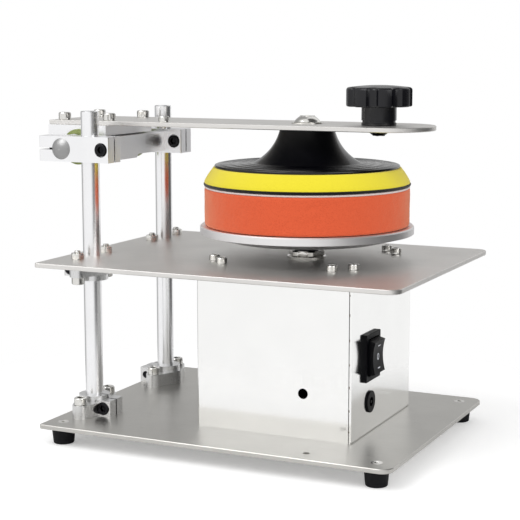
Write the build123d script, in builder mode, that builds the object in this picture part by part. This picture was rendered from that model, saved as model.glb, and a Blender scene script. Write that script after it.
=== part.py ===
"""Disc repair machine: a motor-driven turntable under a sponge pad on a lifting arm.

Millimetres. +Z is up, +X runs along the front edge to the right, +Y to the back. The origin is
on the surface that the machine stands on, under the middle of its outline.
"""

import os
from math import copysign, cos, radians, sin, sqrt, tan

from build123d import *

# Plates
BASE_WIDTH = 246.0
BASE_DEPTH = 191.0
TABLE_WIDTH = 250.0
TABLE_SHORTER = 6.0  # how much less deep the table is than the base plate
TABLE_DEPTH = BASE_DEPTH - TABLE_SHORTER
TABLE_SETBACK = -1.4  # front edge of the table from the front edge of the base plate
PLATE_THICKNESS = 3.0
PLATE_CORNER_RADII = (2.0, 8.0)  # left, right
PLATE_EDGE_BREAK = 0.4

# Feet
FOOT_HEIGHT = 11.0
FOOT_TOP_RADIUS = 8.0
FOOT_BOTTOM_RADIUS = 6.9
FOOT_EDGE_RADIUS = 0.9
FOOT_INSET = 13.0
FOOT_LEFT_INSET = 11.0
FOOT_SCREW_RADIUS = 2.0
FOOT_SCREW_HEAD_RADIUS = 3.8
FOOT_SCREW_LENGTH = 9.0
SPARE_HOLE_X = 187.0
SPARE_HOLE_RADIUS = 2.1

# Upright rods and their supports
ROD_RADIUS = 6.0
ROD_LENGTH = 204.6
ROD_CHAMFER = 0.5
ROD_X = 16.0  # from the left edge of the base plate
ROD_FRONT_Y = 44.4  # from the front edge of the base plate
ROD_REAR_Y = 46.8  # from the rear edge of the base plate
ROD_SPACING = BASE_DEPTH - ROD_FRONT_Y - ROD_REAR_Y
ROD_FIT = 0.03
SUPPORT_HEIGHT = 13.0
SUPPORT_EAR_HEIGHT = 9.0
SUPPORT_EAR_RADIUS = 5.5
SUPPORT_BODY_RADIUS = 12.5
SUPPORT_COLLAR_RADIUS = 10.5
SUPPORT_TAB_REACH = 17.0
SUPPORT_TAB_WIDTH = 18.0
SUPPORT_TAB_HEIGHT = 10.6
SUPPORT_HOLE_SPACING = 36.0
SUPPORT_TAB_CHAMFER = 1.0
SUPPORT_CLAMP_REACH = 12.0
SUPPORT_COUNTERBORE = 4.5
SUPPORT_HEAD_SINK = 4.6  # how deep the clamp screw's head sits in the tab
CLAMP_SLIT = 1.4

# Motor housing
HOUSING_WIDTH = 109.0
HOUSING_HEIGHT = 105.0
HOUSING_LEFT = 95.4  # from the left edge of the base plate
HOUSING_FRONT = 43.3  # from the front edge of the base plate
HOUSING_REAR = 37.7  # from the rear edge of the base plate
HOUSING_DEPTH = BASE_DEPTH - HOUSING_FRONT - HOUSING_REAR
SHEET = 1.5
SHEET_BEND_RADIUS = 2.0
SEAM_GAP = 0.5
WALL_CLEARANCE = 0.9  # from the right wall down to the base plate
FLANGE_WIDTH = 12.0
FLANGE_RELIEF = 1.0
FLANGE_SCREW_INSET = 5.5
FLANGE_SCREW_CORNER = 16.0
PEEP_HOLE_X = 76.0  # from the left wall of the housing
PEEP_HOLE_Z = 29.0  # above the base plate
PEEP_HOLE_RADIUS = 3.4

# Screws: thread radius, head radius and head height
M4 = (2.0, 3.5, 4.0)
M5 = (2.5, 4.25, 5.0)
M3 = (1.5, 2.75, 1.7)
M4_NUT = (3.5, 3.2)  # across flats / 2, height
M5_NUT = (4.0, 4.0)
SOCKET_SHARE = 0.5  # socket depth over head height
SOCKET_WIDTH_SHARE = 0.8  # half the width of a hex socket over the thread radius
HEAD_CHAMFER_SHARE = 0.1  # chamfer over head height
CROSS_RECESS = (1.0, 0.2)  # length and width of a cross recess over the head radius
NUT_CORNER_SHARE = 1.08  # rounded corners of a nut over half its width
SCREW_GAP = 0.1
SCREW_END_GAP = 1.0  # past the end of a thread in a blind hole
THREAD_STANDOUT = 1.5  # thread that stands out of a nut

# Switch and inlet
SWITCH_Y = 32.3  # from the front wall of the housing
SWITCH_Z = 50.4  # above the base plate
SWITCH_HEIGHT = 31.0
SWITCH_WIDTH = 25.2
SWITCH_BEZEL = 2.4
SWITCH_RIM = 1.9
SWITCH_BODY_HEIGHT = 27.0
SWITCH_BODY_WIDTH = 21.0
SWITCH_BODY_DEPTH = 22.0
SWITCH_WALL = 1.2
SWITCH_FIT = 0.1
ROCKER_GAP = 0.35
ROCKER_REACH = 4.5  # how far the rocker's ends stand out of the bezel at rest
ROCKER_WAIST = 3.0  # how far its middle stands out
ROCKER_DEPTH = 3.6  # how deep it reaches into the well
ROCKER_END_SHARE = 0.86  # height of its face over that of the well
ROCKER_ROOT_SHARE = 0.62  # height of its inner end over that of the well
WELL_DEPTH = 9.5
ROCKER_PIN_RADIUS = 1.0
ROCKER_PIN_FIT = 0.04
TERMINAL_SIZE = (8.0, 0.8, 4.8)
TERMINAL_SPACING = 8.0
JACK_Y = 32.4
JACK_Z = 20.2
JACK_FLANGE_RADIUS = 7.2
JACK_FLANGE = 1.2
JACK_THREAD_RADIUS = 5.5
JACK_LENGTH = 16.0
JACK_BORE_RADIUS = 3.2
JACK_BORE_DEPTH = 11.0
JACK_PIN_RADIUS = 1.05
JACK_NUT = (7.0, 2.5)

# Motor
MOTOR_RADIUS = 21.0
MOTOR_CAN_HEIGHT = 58.0
MOTOR_WALL = 1.6
MOTOR_FACE = 4.0
MOTOR_BOSS_RADIUS = 8.5
MOTOR_BOSS_CHAMFER = 0.6
LOCK_WASHER = (13.0, 1.2)  # radius, thickness
LOCK_NUT = (11.0, 4.0)
MAGNET_THICKNESS = 3.6
MAGNET_HEIGHT = 42.0
MAGNET_SPAN = 130.0
MAGNET_GLUE_GAP = 0.3
MOTOR_AIR_GAP = 0.6
CORE_HEIGHT = 30.0
CORE_SLOTS = 7
CORE_SLOT_RADIUS = 1.6
COMMUTATOR_RADIUS = 5.0
COMMUTATOR_HEIGHT = 8.0
COMMUTATOR_RISE = 2.0  # above the mouth of the can
BRUSH_SIZE = (6.0, 4.0, 5.0)
BRUSH_GAP = 0.3
END_CAP_HEIGHT = 9.0
BEARING_RADIUS = 5.5
BEARING_HEIGHT = 4.0
MOTOR_TERMINAL = (0.8, 4.8, 7.0)
MOTOR_TERMINAL_X = 13.0
SHAFT_RADIUS = 2.5
SHAFT_FIT = 0.04
SHAFT_END_GAP = 0.5
SHAFT_CHAMFER = 0.4

# Turntable
TURNTABLE_RADIUS = 70.9
TURNTABLE_RIM = 5.0  # thickness at the edge
TURNTABLE_RING = (53.0, 40.0, 9.6)  # outer and inner radius and depth of the ring beneath
TURNTABLE_THICKNESS = 6.5
TURNTABLE_CHAMFER = 0.8
TURNTABLE_TOP = 22.0  # above the table plate
HUB_FLANGE = (18.0, 2.5)
HUB_NECK_RADIUS = 9.0
HUB_CLEARANCE = 1.0  # above the motor's boss
HUB_SCREW_CIRCLE = 13.5
HUB_SCREW_COUNT = 3
SET_SCREW_RADIUS = 1.5
DISC_SPIGOT = (7.4, 1.2)  # radius and height above the turntable, for a disc's 15 mm hole
SPIGOT_CHAMFER = 0.4

# Polishing pad, bottom to top
PAD_GAP = 0.3
SPONGE = (68.0, 24.5)
SPONGE_EDGE_RADIUS = 0.9
SPONGE_BORE_RADIUS = 13.0  # clears the spigot and a disc's raised middle
LOOP_THICKNESS = 1.5
HOOK_THICKNESS = 2.0
FOAM = (68.5, 62.2, 10.0)  # bottom radius, top radius, height
BACKING_RADIUS = 61.2
BACKING_FLANGE = 1.8
BACKING_HEIGHT = 25.5
FLARE_RADIUS = 36.0
FLARE_RISE = 1.0
FLARE_WAIST = (23.4, 13.2)  # radius, height above the backing's underside
HUB_TOP_RADIUS = 17.9
INSERT = (7.0, 18.0)
PAD_BOLT_RADIUS = 5.0
PAD_BOLT_LENGTH = 16.0
PAD_BOLT_HEAD = (9.0, 5.2)
PAD_WASHER = (10.5, 0.8)

# Arm
ARM_WIDTH = 62.0
ARM_THICKNESS = 3.0
ARM_LEFT = -31.0  # left end from the left edge of the base plate
ARM_TIP = 237.0  # rounded end from the left edge of the base plate
ARM_SCREW_LEFT = -23.4
ARM_SCREW_RIGHT = 12.5
ARM_SCREW_ROWS = 46.0
ARM_SCREW_LENGTH = 9.0
STOP_SCREW = (56.0, -25.0)  # from the left edge of the base plate, from the arm's middle
KNOB_X = 200.0
KNOB_RADIUS = 21.2
KNOB_HEAD_HEIGHT = 12.0
KNOB_DOME = 1.7
KNOB_STEM = (11.3, 12.0)
KNOB_GROOVE = (0.6, 1.6)
KNOB_LOBES = 8
KNOB_SCALLOP = (4.6, 2.1)  # scallop radius, how far its centre lies outside the rim
KNOB_PHASE = 8.1
KNOB_INSERT = (5.0, 16.0)
KNOB_INSERT_FLOOR = 1.0
KNOB_SCREW_RADIUS = 3.0
KNOB_SCREW_HEAD = (7.2, 4.4)

# Arm pivot and yoke
PIVOT_X = -1.8  # from the left edge of the base plate
PIVOT_DROP = 14.3  # below the underside of the arm plate
PIVOT_RADIUS = 7.0
PIVOT_DOME = 2.6
PIVOT_FIT = 0.04
BUSH_FLANGE = (12.0, 6.0)
BUSH_SLEEVE = (9.0, 14.0)
BARREL_RADIUS = 11.4
HINGE_SLAB = (-29.0, 16.8, 6.7)  # left and right from the base plate's left edge, thickness
HINGE_END_GAP = 10.6  # hinge block to clamp block
HINGE_RELIEF = 1.0  # round the shaft between the bushes
SPACER_RADIUS = 9.0
SPACER_PLAY = 0.3
YOKE_LEFT = -19.0
YOKE_RIGHT = 34.8
YOKE_HEIGHT = 17.0
YOKE_BLOCK_DEPTH = 16.0
YOKE_BAR = (11.6, 21.6, 13.6)  # left, right, height
YOKE_LIP = (2.8, 48.0)  # depth below the bar, length from the front block
YOKE_LIP_SETBACK = 2.5  # from the bar's right face
YOKE_HEAD_SINK = 4.3  # how deep the clamp screws' heads sit in the blocks
YOKE_CLAMP_X = 29.0
PIVOT_CLAMP_X = -14.0
PIVOT_HOLE_DEPTH = 15.5
COUNTERBORE_GAP = 0.3
YOKE_COUNTERBORE = 4.8

# Wires, each from its own contact to the next
WIRE_RADIUS = 0.9
INLET_CONTACT = 2.2  # half the spacing of the inlet's contacts
SUPPLY_REACH = 50.0  # how far the supply wires reach in from the right wall
WIRE_STUB = 3.0  # straight end of a wire at the switch
MOTOR_WIRE_REACH = (66.0, 60.0)
LANE_GAP = 4.0  # from the motor to the nearer of the two lanes in front of it
MOTOR_WIRE_LOW = (27.0, 23.0)  # lowest points of the motor wires, at the wall and under the motor

# Places worked out from the sizes above
LEFT = -(ARM_LEFT + TABLE_WIDTH) / 2
FRONT = -(TABLE_SETBACK + BASE_DEPTH) / 2
BASE_TOP = FOOT_HEIGHT + PLATE_THICKNESS
TABLE_BOTTOM = BASE_TOP + HOUSING_HEIGHT
TABLE_TOP = TABLE_BOTTOM + PLATE_THICKNESS
BASE_CENTRE = (LEFT + BASE_WIDTH / 2, FRONT + BASE_DEPTH / 2)
TABLE_CENTRE = (LEFT + TABLE_WIDTH / 2, FRONT + TABLE_SETBACK + TABLE_DEPTH / 2)
HOUSE_X0 = LEFT + HOUSING_LEFT
HOUSE_X1 = HOUSE_X0 + HOUSING_WIDTH
HOUSE_Y0 = FRONT + HOUSING_FRONT
HOUSE_Y1 = HOUSE_Y0 + HOUSING_DEPTH
AXIS_X = (HOUSE_X0 + HOUSE_X1) / 2
AXIS_Y = (HOUSE_Y0 + HOUSE_Y1) / 2
ROD_Y = (FRONT + ROD_FRONT_Y, FRONT + ROD_FRONT_Y + ROD_SPACING)
ROD_PLACES = [(LEFT + ROD_X, y) for y in ROD_Y]
PLATTER_TOP = TABLE_TOP + TURNTABLE_TOP
PLATTER_BOTTOM = PLATTER_TOP - TURNTABLE_THICKNESS
SPONGE_BOTTOM = PLATTER_TOP + PAD_GAP
LOOP_BOTTOM = SPONGE_BOTTOM + SPONGE[1]
HOOK_BOTTOM = LOOP_BOTTOM + LOOP_THICKNESS
FOAM_BOTTOM = HOOK_BOTTOM + HOOK_THICKNESS
BACKING_BOTTOM = FOAM_BOTTOM + FOAM[2]
ARM_BOTTOM = BACKING_BOTTOM + BACKING_HEIGHT
ARM_TOP = ARM_BOTTOM + ARM_THICKNESS
PIVOT = (LEFT + PIVOT_X, ARM_BOTTOM - PIVOT_DROP)
SLAB_BOTTOM = ARM_BOTTOM - HINGE_SLAB[2]
BLOCK_INNER_Y = (ROD_Y[0] + YOKE_BLOCK_DEPTH / 2, ROD_Y[1] - YOKE_BLOCK_DEPTH / 2)
HINGE_Y = (BLOCK_INNER_Y[0] + HINGE_END_GAP, BLOCK_INNER_Y[1] - HINGE_END_GAP)

# Ways of placing a shape on its position
MIN_Z = (Align.CENTER, Align.CENTER, Align.MIN)
MAX_Z = (Align.CENTER, Align.CENTER, Align.MAX)
SLIT_ALIGN = (Align.MIN, Align.CENTER, Align.CENTER)


def cap_screw(size, length):
    """Socket cap screw that stands on Z=0 with its thread below."""
    thread, head, height = size
    with BuildPart() as screw:
        Cylinder(head, height, align=MIN_Z)
        chamfer(screw.faces().sort_by(Axis.Z)[-1].edges(), height * HEAD_CHAMFER_SHARE)
        with BuildSketch(Plane.XY.offset(height)):
            RegularPolygon(thread * SOCKET_WIDTH_SHARE, 6, major_radius=False)
        extrude(amount=-height * SOCKET_SHARE, mode=Mode.SUBTRACT)
        with Locations((0, 0, -length)):
            Cylinder(thread, length, align=MIN_Z)
    return screw.part


def dome_screw(thread, head, height, length):
    """Domed screw that stands on Z=0 with its thread below."""
    cap_radius = (head**2 + height**2) / (2 * height)
    with BuildPart() as screw:
        with BuildSketch(Plane.XZ):
            with BuildLine():
                arc_middle = sin(radians(45))
                rise = sqrt(cap_radius**2 - (head * arc_middle) ** 2) - (cap_radius - height)
                Line((0, -length), (thread, -length))
                Line((thread, -length), (thread, 0))
                Line((thread, 0), (head, 0))
                ThreePointArc((head, 0), (head * arc_middle, rise), (0, height))
                Line((0, height), (0, -length))
            make_face()
        revolve(axis=Axis.Z)
        with BuildSketch(Plane.XY.offset(height)):
            Rectangle(head * CROSS_RECESS[0], head * CROSS_RECESS[1])
            Rectangle(head * CROSS_RECESS[1], head * CROSS_RECESS[0])
        extrude(amount=-height * SOCKET_SHARE, mode=Mode.SUBTRACT)
    return screw.part


def flat_screw(thread, head, length):
    """Countersunk screw with its flat face at Z=0 and its thread below."""
    depth = head - thread
    with BuildPart() as screw:
        Cylinder(thread, length, align=MAX_Z)
        with Locations((0, 0, -depth)):
            Cone(thread, head, depth, align=MIN_Z)
        with BuildSketch():
            Rectangle(head * CROSS_RECESS[0], head * CROSS_RECESS[1])
            Rectangle(head * CROSS_RECESS[1], head * CROSS_RECESS[0])
        extrude(amount=-depth * SOCKET_SHARE, mode=Mode.SUBTRACT)
    return screw.part


def nut(size, bore):
    """Hex nut that stands on Z=0, its bore clear of the thread."""
    flat, height = size
    with BuildPart() as piece:
        with BuildSketch():
            RegularPolygon(flat, 6, major_radius=False)
            Circle(bore + SCREW_GAP, mode=Mode.SUBTRACT)
        extrude(amount=height)
        with BuildSketch():
            Circle(flat * NUT_CORNER_SHARE)
        extrude(amount=height, mode=Mode.INTERSECT)
    return piece.part


def plate(width, depth, centre, bottom):
    """Rounded rectangular sheet, its lower face at the height given."""
    with BuildPart() as piece:
        with BuildSketch(Plane.XY.offset(bottom)) as outline:
            with Locations(centre):
                Rectangle(width, depth)
            for side, radius in zip((slice(0, 2), slice(-2, None)), PLATE_CORNER_RADII):
                fillet(outline.vertices().sort_by(Axis.X)[side], radius)
        extrude(amount=PLATE_THICKNESS)
        rims = piece.faces().filter_by(Axis.Z).edges()
        chamfer(rims, PLATE_EDGE_BREAK)
    return piece.part


def support_places():
    """Centres of the supports' mounting screws."""
    half = SUPPORT_HOLE_SPACING / 2
    return [(x, y + side * half) for x, y in ROD_PLACES for side in (-1, 1)]


def flange_screw_places():
    """Centres of the housing's flange screws, two at each corner."""
    near = FLANGE_SCREW_INSET
    along = FLANGE_SCREW_CORNER
    places = []
    for corner_x, inward_x in ((HOUSE_X0, 1), (HOUSE_X1, -1)):
        for corner_y, inward_y in ((HOUSE_Y0, 1), (HOUSE_Y1, -1)):
            places.append((corner_x + inward_x * near, corner_y + inward_y * along))
            places.append((corner_x + inward_x * along, corner_y + inward_y * near))
    return places


def foot_places():
    """Centres of the four feet."""
    across = (LEFT + FOOT_LEFT_INSET, LEFT + BASE_WIDTH - FOOT_INSET)
    deep = (FRONT + FOOT_INSET, FRONT + BASE_DEPTH - FOOT_INSET)
    return [(x, y) for x in across for y in deep]


# Base plate, feet and rods
with BuildPart() as base_plate:
    add(plate(BASE_WIDTH, BASE_DEPTH, BASE_CENTRE, FOOT_HEIGHT))
    with Locations(*[(x, y, BASE_TOP) for x, y in foot_places()]):
        sink = FOOT_SCREW_HEAD_RADIUS + SCREW_GAP
        CounterSinkHole(FOOT_SCREW_RADIUS + SCREW_GAP, sink, counter_sink_angle=90)
    with Locations(*[(x, y, BASE_TOP) for x, y in support_places()]):
        Hole(M5[0] + SCREW_GAP)
    with Locations(*[(x, y, BASE_TOP) for x, y in flange_screw_places()]):
        Hole(M4[0] + SCREW_GAP)
    with Locations((LEFT + SPARE_HOLE_X, FRONT + FOOT_INSET, BASE_TOP)):
        Hole(SPARE_HOLE_RADIUS)

with BuildPart() as foot:
    Cone(FOOT_BOTTOM_RADIUS, FOOT_TOP_RADIUS, FOOT_HEIGHT, align=MIN_Z)
    fillet(foot.edges().sort_by(Axis.Z)[0], FOOT_EDGE_RADIUS)
    with Locations((0, 0, FOOT_HEIGHT)):
        hole_depth = FOOT_SCREW_LENGTH - PLATE_THICKNESS + SCREW_GAP
        Hole(FOOT_SCREW_RADIUS + SCREW_GAP, depth=hole_depth)

with BuildPart() as feet:
    with Locations(*foot_places()):
        add(foot.part)

with BuildPart() as foot_screws:
    with Locations(*[(x, y, BASE_TOP) for x, y in foot_places()]):
        add(flat_screw(FOOT_SCREW_RADIUS, FOOT_SCREW_HEAD_RADIUS, FOOT_SCREW_LENGTH))


def rod(place):
    """Upright rod that stands on the base plate."""
    with BuildPart() as piece:
        with Locations((*place, BASE_TOP)):
            Cylinder(ROD_RADIUS, ROD_LENGTH, align=MIN_Z)
        chamfer(piece.faces().filter_by(Axis.Z).edges(), ROD_CHAMFER)
    return piece.part


with BuildPart() as front_rod:
    add(rod(ROD_PLACES[0]))

with BuildPart() as rear_rod:
    add(rod(ROD_PLACES[1]))

# Rod support: two ears along Y, a body with its split clamp tab towards +X, a collar, foot at Z=0
CLAMP_HEAD_SEAT = SUPPORT_TAB_WIDTH / 2 - SUPPORT_HEAD_SINK
CLAMP_AXIS = (SUPPORT_CLAMP_REACH, SUPPORT_TAB_HEIGHT / 2)
SUPPORT_EAR_TIP = SUPPORT_HOLE_SPACING / 2 + SUPPORT_EAR_RADIUS
SUPPORT_EAR_PLACES = [(0, side * SUPPORT_HOLE_SPACING / 2) for side in (-1, 1)]
with BuildPart() as rod_support:
    with BuildSketch():
        Circle(SUPPORT_BODY_RADIUS)
        with Locations(*SUPPORT_EAR_PLACES):
            Circle(SUPPORT_EAR_RADIUS)
        make_hull()
    extrude(amount=SUPPORT_EAR_HEIGHT)
    with BuildSketch():
        with Locations((SUPPORT_TAB_REACH / 2, 0)):
            Rectangle(SUPPORT_TAB_REACH, SUPPORT_TAB_WIDTH)
    extrude(amount=SUPPORT_TAB_HEIGHT)
    tab_edges = rod_support.edges().filter_by(Axis.Z).sort_by(Axis.X)[-2:]
    chamfer(tab_edges, SUPPORT_TAB_CHAMFER)
    Cylinder(SUPPORT_COLLAR_RADIUS, SUPPORT_HEIGHT, align=MIN_Z)
    Cylinder(ROD_RADIUS + ROD_FIT, 3 * SUPPORT_HEIGHT, mode=Mode.SUBTRACT)
    Box(2 * SUPPORT_TAB_REACH, CLAMP_SLIT, 3 * SUPPORT_HEIGHT, align=SLIT_ALIGN, mode=Mode.SUBTRACT)
    with Locations(*SUPPORT_EAR_PLACES):
        Cylinder(M5[0] + SCREW_GAP, 3 * SUPPORT_HEIGHT, mode=Mode.SUBTRACT)
    with BuildSketch(Plane.XZ.offset(SUPPORT_TAB_WIDTH / 2)):
        with Locations(CLAMP_AXIS):
            Circle(M5[0] + SCREW_GAP)
    extrude(amount=-SUPPORT_TAB_WIDTH, mode=Mode.SUBTRACT)
    with BuildSketch(Plane.XZ.offset(SUPPORT_EAR_TIP)):
        with Locations(CLAMP_AXIS):
            Circle(SUPPORT_COUNTERBORE)
    extrude(amount=-(SUPPORT_EAR_TIP - CLAMP_HEAD_SEAT), mode=Mode.SUBTRACT)

# Frames of the four supports: their tabs face +X or -X, and the upper pair hangs down
BASE_SUPPORTS = [
    Location((*ROD_PLACES[0], BASE_TOP)),
    Location((*ROD_PLACES[1], BASE_TOP), (0, 0, 180)),
]
TABLE_SUPPORTS = [
    Location((*ROD_PLACES[0], TABLE_BOTTOM), (0, 180, 0)),
    Location((*ROD_PLACES[1], TABLE_BOTTOM), (180, 0, 0)),
]
CLAMP_SCREW_LENGTH = SUPPORT_TAB_WIDTH / 2 + CLAMP_HEAD_SEAT
CLAMP_SCREW_PLACE = Location((CLAMP_AXIS[0], -CLAMP_HEAD_SEAT, CLAMP_AXIS[1]), (90, 0, 0))

with BuildPart() as base_rod_supports:
    with Locations(*BASE_SUPPORTS):
        add(rod_support.part)

with BuildPart() as table_rod_supports:
    with Locations(*TABLE_SUPPORTS):
        add(rod_support.part)

with BuildPart() as support_clamp_screws:
    with Locations(*[place * CLAMP_SCREW_PLACE for place in BASE_SUPPORTS + TABLE_SUPPORTS]):
        add(cap_screw(M5, CLAMP_SCREW_LENGTH))

# The base supports are screwed down from above, the table supports up from below
SUPPORT_SCREW_LENGTH = SUPPORT_EAR_HEIGHT + PLATE_THICKNESS + M5_NUT[1] + THREAD_STANDOUT
BASE_EAR_TOP = BASE_TOP + SUPPORT_EAR_HEIGHT
TABLE_EAR_BOTTOM = TABLE_BOTTOM - SUPPORT_EAR_HEIGHT
with BuildPart() as support_screws:
    with Locations(*[(x, y, BASE_EAR_TOP) for x, y in support_places()]):
        add(cap_screw(M5, SUPPORT_SCREW_LENGTH))
    with Locations(*[Location((x, y, TABLE_EAR_BOTTOM), (180, 0, 0)) for x, y in support_places()]):
        add(cap_screw(M5, SUPPORT_SCREW_LENGTH))

with BuildPart() as support_nuts:
    for seat in (FOOT_HEIGHT - M5_NUT[1], TABLE_TOP):
        with Locations(*[(x, y, seat) for x, y in support_places()]):
            add(nut(M5_NUT, M5[0]))

# Table plate
with BuildPart() as table_plate:
    add(plate(TABLE_WIDTH, TABLE_DEPTH, TABLE_CENTRE, TABLE_BOTTOM))
    with Locations(*[(x, y, TABLE_TOP) for x, y in ROD_PLACES]):
        Hole(ROD_RADIUS + ROD_FIT)
    with Locations(*[(x, y, TABLE_TOP) for x, y in support_places()]):
        Hole(M5[0] + SCREW_GAP)
    with Locations(*[(x, y, TABLE_TOP) for x, y in flange_screw_places()]):
        Hole(M4[0] + SCREW_GAP)
    with Locations((AXIS_X, AXIS_Y, TABLE_TOP)):
        Hole(MOTOR_BOSS_RADIUS + SCREW_GAP)

# Housing: two folded shells that meet at the front right and rear left corners
SEAM = SHEET + SEAM_GAP


def flange(x0, x1, y0, y1):
    """Flanges at the top and foot of a housing wall, with their screw holes."""
    with BuildPart() as piece:
        for bottom in (BASE_TOP, TABLE_BOTTOM - SHEET):
            with Locations((x0, y0, bottom)):
                Box(x1 - x0, y1 - y0, SHEET, align=(Align.MIN, Align.MIN, Align.MIN))
        for x, y in flange_screw_places():
            with Locations((x, y, BASE_TOP)):
                bore = M4[0] + SCREW_GAP
                Cylinder(bore, 3 * HOUSING_HEIGHT, mode=Mode.SUBTRACT)
    return piece.part


def folded_walls(corner, far_x, far_y):
    """Two walls folded at an outer corner, reaching to far_x along X and to far_y along Y."""
    x, y = corner
    inner_x = x + copysign(SHEET, far_x - x)
    inner_y = y + copysign(SHEET, far_y - y)
    with BuildPart() as piece:
        with BuildSketch(Plane.XY.offset(BASE_TOP)) as outline:
            with BuildLine():
                outside = [(inner_x, far_y), (x, far_y), (x, y), (far_x, y), (far_x, inner_y)]
                Polyline(*outside, (inner_x, inner_y), close=True)
            make_face()
            fillet(outline.vertices().sort_by_distance((x, y, 0))[0], SHEET_BEND_RADIUS)
            fillet(outline.vertices().sort_by_distance((inner_x, inner_y, 0))[0], SHEET_BEND_RADIUS - SHEET)
        extrude(amount=HOUSING_HEIGHT)
    return piece.part


FLANGE_CUT = FLANGE_WIDTH + FLANGE_RELIEF
with BuildPart() as housing_front_shell:
    add(folded_walls((HOUSE_X0, HOUSE_Y0), HOUSE_X1 - SEAM, HOUSE_Y1 - SEAM))
    add(flange(HOUSE_X0 + FLANGE_CUT, HOUSE_X1 - FLANGE_CUT, HOUSE_Y0 + SHEET / 2, HOUSE_Y0 + FLANGE_WIDTH))
    add(flange(HOUSE_X0 + SHEET / 2, HOUSE_X0 + FLANGE_WIDTH, HOUSE_Y0 + FLANGE_CUT, HOUSE_Y1 - FLANGE_CUT))
    with BuildSketch(Plane.XZ.offset(-HOUSE_Y0)):
        with Locations((HOUSE_X0 + PEEP_HOLE_X, BASE_TOP + PEEP_HOLE_Z)):
            Circle(PEEP_HOLE_RADIUS)
    extrude(amount=-2 * SHEET, mode=Mode.SUBTRACT)

SWITCH_CENTRE = (HOUSE_Y0 + SWITCH_Y, BASE_TOP + SWITCH_Z)
JACK_CENTRE = (HOUSE_Y0 + JACK_Y, BASE_TOP + JACK_Z)
with BuildPart() as housing_rear_shell:
    add(folded_walls((HOUSE_X1, HOUSE_Y1), HOUSE_X0, HOUSE_Y0))
    add(flange(HOUSE_X1 - FLANGE_WIDTH, HOUSE_X1 - SHEET / 2, HOUSE_Y0 + FLANGE_CUT, HOUSE_Y1 - FLANGE_CUT))
    add(flange(HOUSE_X0 + FLANGE_CUT, HOUSE_X1 - FLANGE_CUT, HOUSE_Y1 - FLANGE_WIDTH, HOUSE_Y1 - SHEET / 2))
    with BuildSketch(Plane.YZ.offset(HOUSE_X1)):
        with Locations(SWITCH_CENTRE):
            Rectangle(SWITCH_BODY_WIDTH + 2 * SWITCH_FIT, SWITCH_BODY_HEIGHT + 2 * SWITCH_FIT)
        with Locations(JACK_CENTRE):
            Circle(JACK_THREAD_RADIUS + SCREW_GAP)
    extrude(amount=-2 * SHEET, mode=Mode.SUBTRACT)
    with Locations((HOUSE_X1, HOUSE_Y0, BASE_TOP)):
        length = HOUSING_DEPTH - SHEET_BEND_RADIUS
        Box(SHEET / 2, length, WALL_CLEARANCE, align=(Align.MAX, Align.MIN, Align.MIN), mode=Mode.SUBTRACT)

FLANGE_SCREW_LENGTH = PLATE_THICKNESS + SHEET + M4_NUT[1] + THREAD_STANDOUT
with BuildPart() as housing_screws:
    with Locations(*[(x, y, TABLE_TOP) for x, y in flange_screw_places()]):
        add(cap_screw(M4, FLANGE_SCREW_LENGTH))
    with Locations(*[Location((x, y, FOOT_HEIGHT), (180, 0, 0)) for x, y in flange_screw_places()]):
        add(cap_screw(M4, FLANGE_SCREW_LENGTH))

with BuildPart() as housing_nuts:
    for seat in (BASE_TOP + SHEET, TABLE_BOTTOM - SHEET - M4_NUT[1]):
        with Locations(*[(x, y, seat) for x, y in flange_screw_places()]):
            add(nut(M4_NUT, M4[0]))

# Switch: body with a raised bezel, its rocker and its terminals
BEZEL_FACE = HOUSE_X1 + SWITCH_BEZEL
WELL_HEIGHT = SWITCH_BODY_HEIGHT - 2 * SWITCH_WALL
WELL_WIDTH = SWITCH_BODY_WIDTH - 2 * SWITCH_WALL
ROCKER_AXIS_X = BEZEL_FACE - ROCKER_DEPTH + ROCKER_PIN_RADIUS * 2
with BuildPart() as switch_body:
    with BuildSketch(Plane.YZ.offset(HOUSE_X1)):
        with Locations(SWITCH_CENTRE):
            Rectangle(SWITCH_WIDTH, SWITCH_HEIGHT)
    extrude(amount=SWITCH_BEZEL)
    fillet(switch_body.edges().filter_by(Axis.X), SWITCH_RIM / 2)
    fillet(switch_body.faces().sort_by(Axis.X)[-1].edges(), SWITCH_RIM / 4)
    with BuildSketch(Plane.YZ.offset(HOUSE_X1)):
        with Locations(SWITCH_CENTRE):
            Rectangle(SWITCH_BODY_WIDTH, SWITCH_BODY_HEIGHT)
    extrude(amount=-SWITCH_BODY_DEPTH)
    with BuildSketch(Plane.YZ.offset(BEZEL_FACE)):
        with Locations(SWITCH_CENTRE):
            Rectangle(WELL_WIDTH, WELL_HEIGHT)
    extrude(amount=-WELL_DEPTH, mode=Mode.SUBTRACT)
    with Locations((ROCKER_AXIS_X, *SWITCH_CENTRE)):
        pin_hole = ROCKER_PIN_RADIUS + ROCKER_PIN_FIT
        Cylinder(pin_hole, SWITCH_BODY_WIDTH, rotation=(90, 0, 0), mode=Mode.SUBTRACT)

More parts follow.
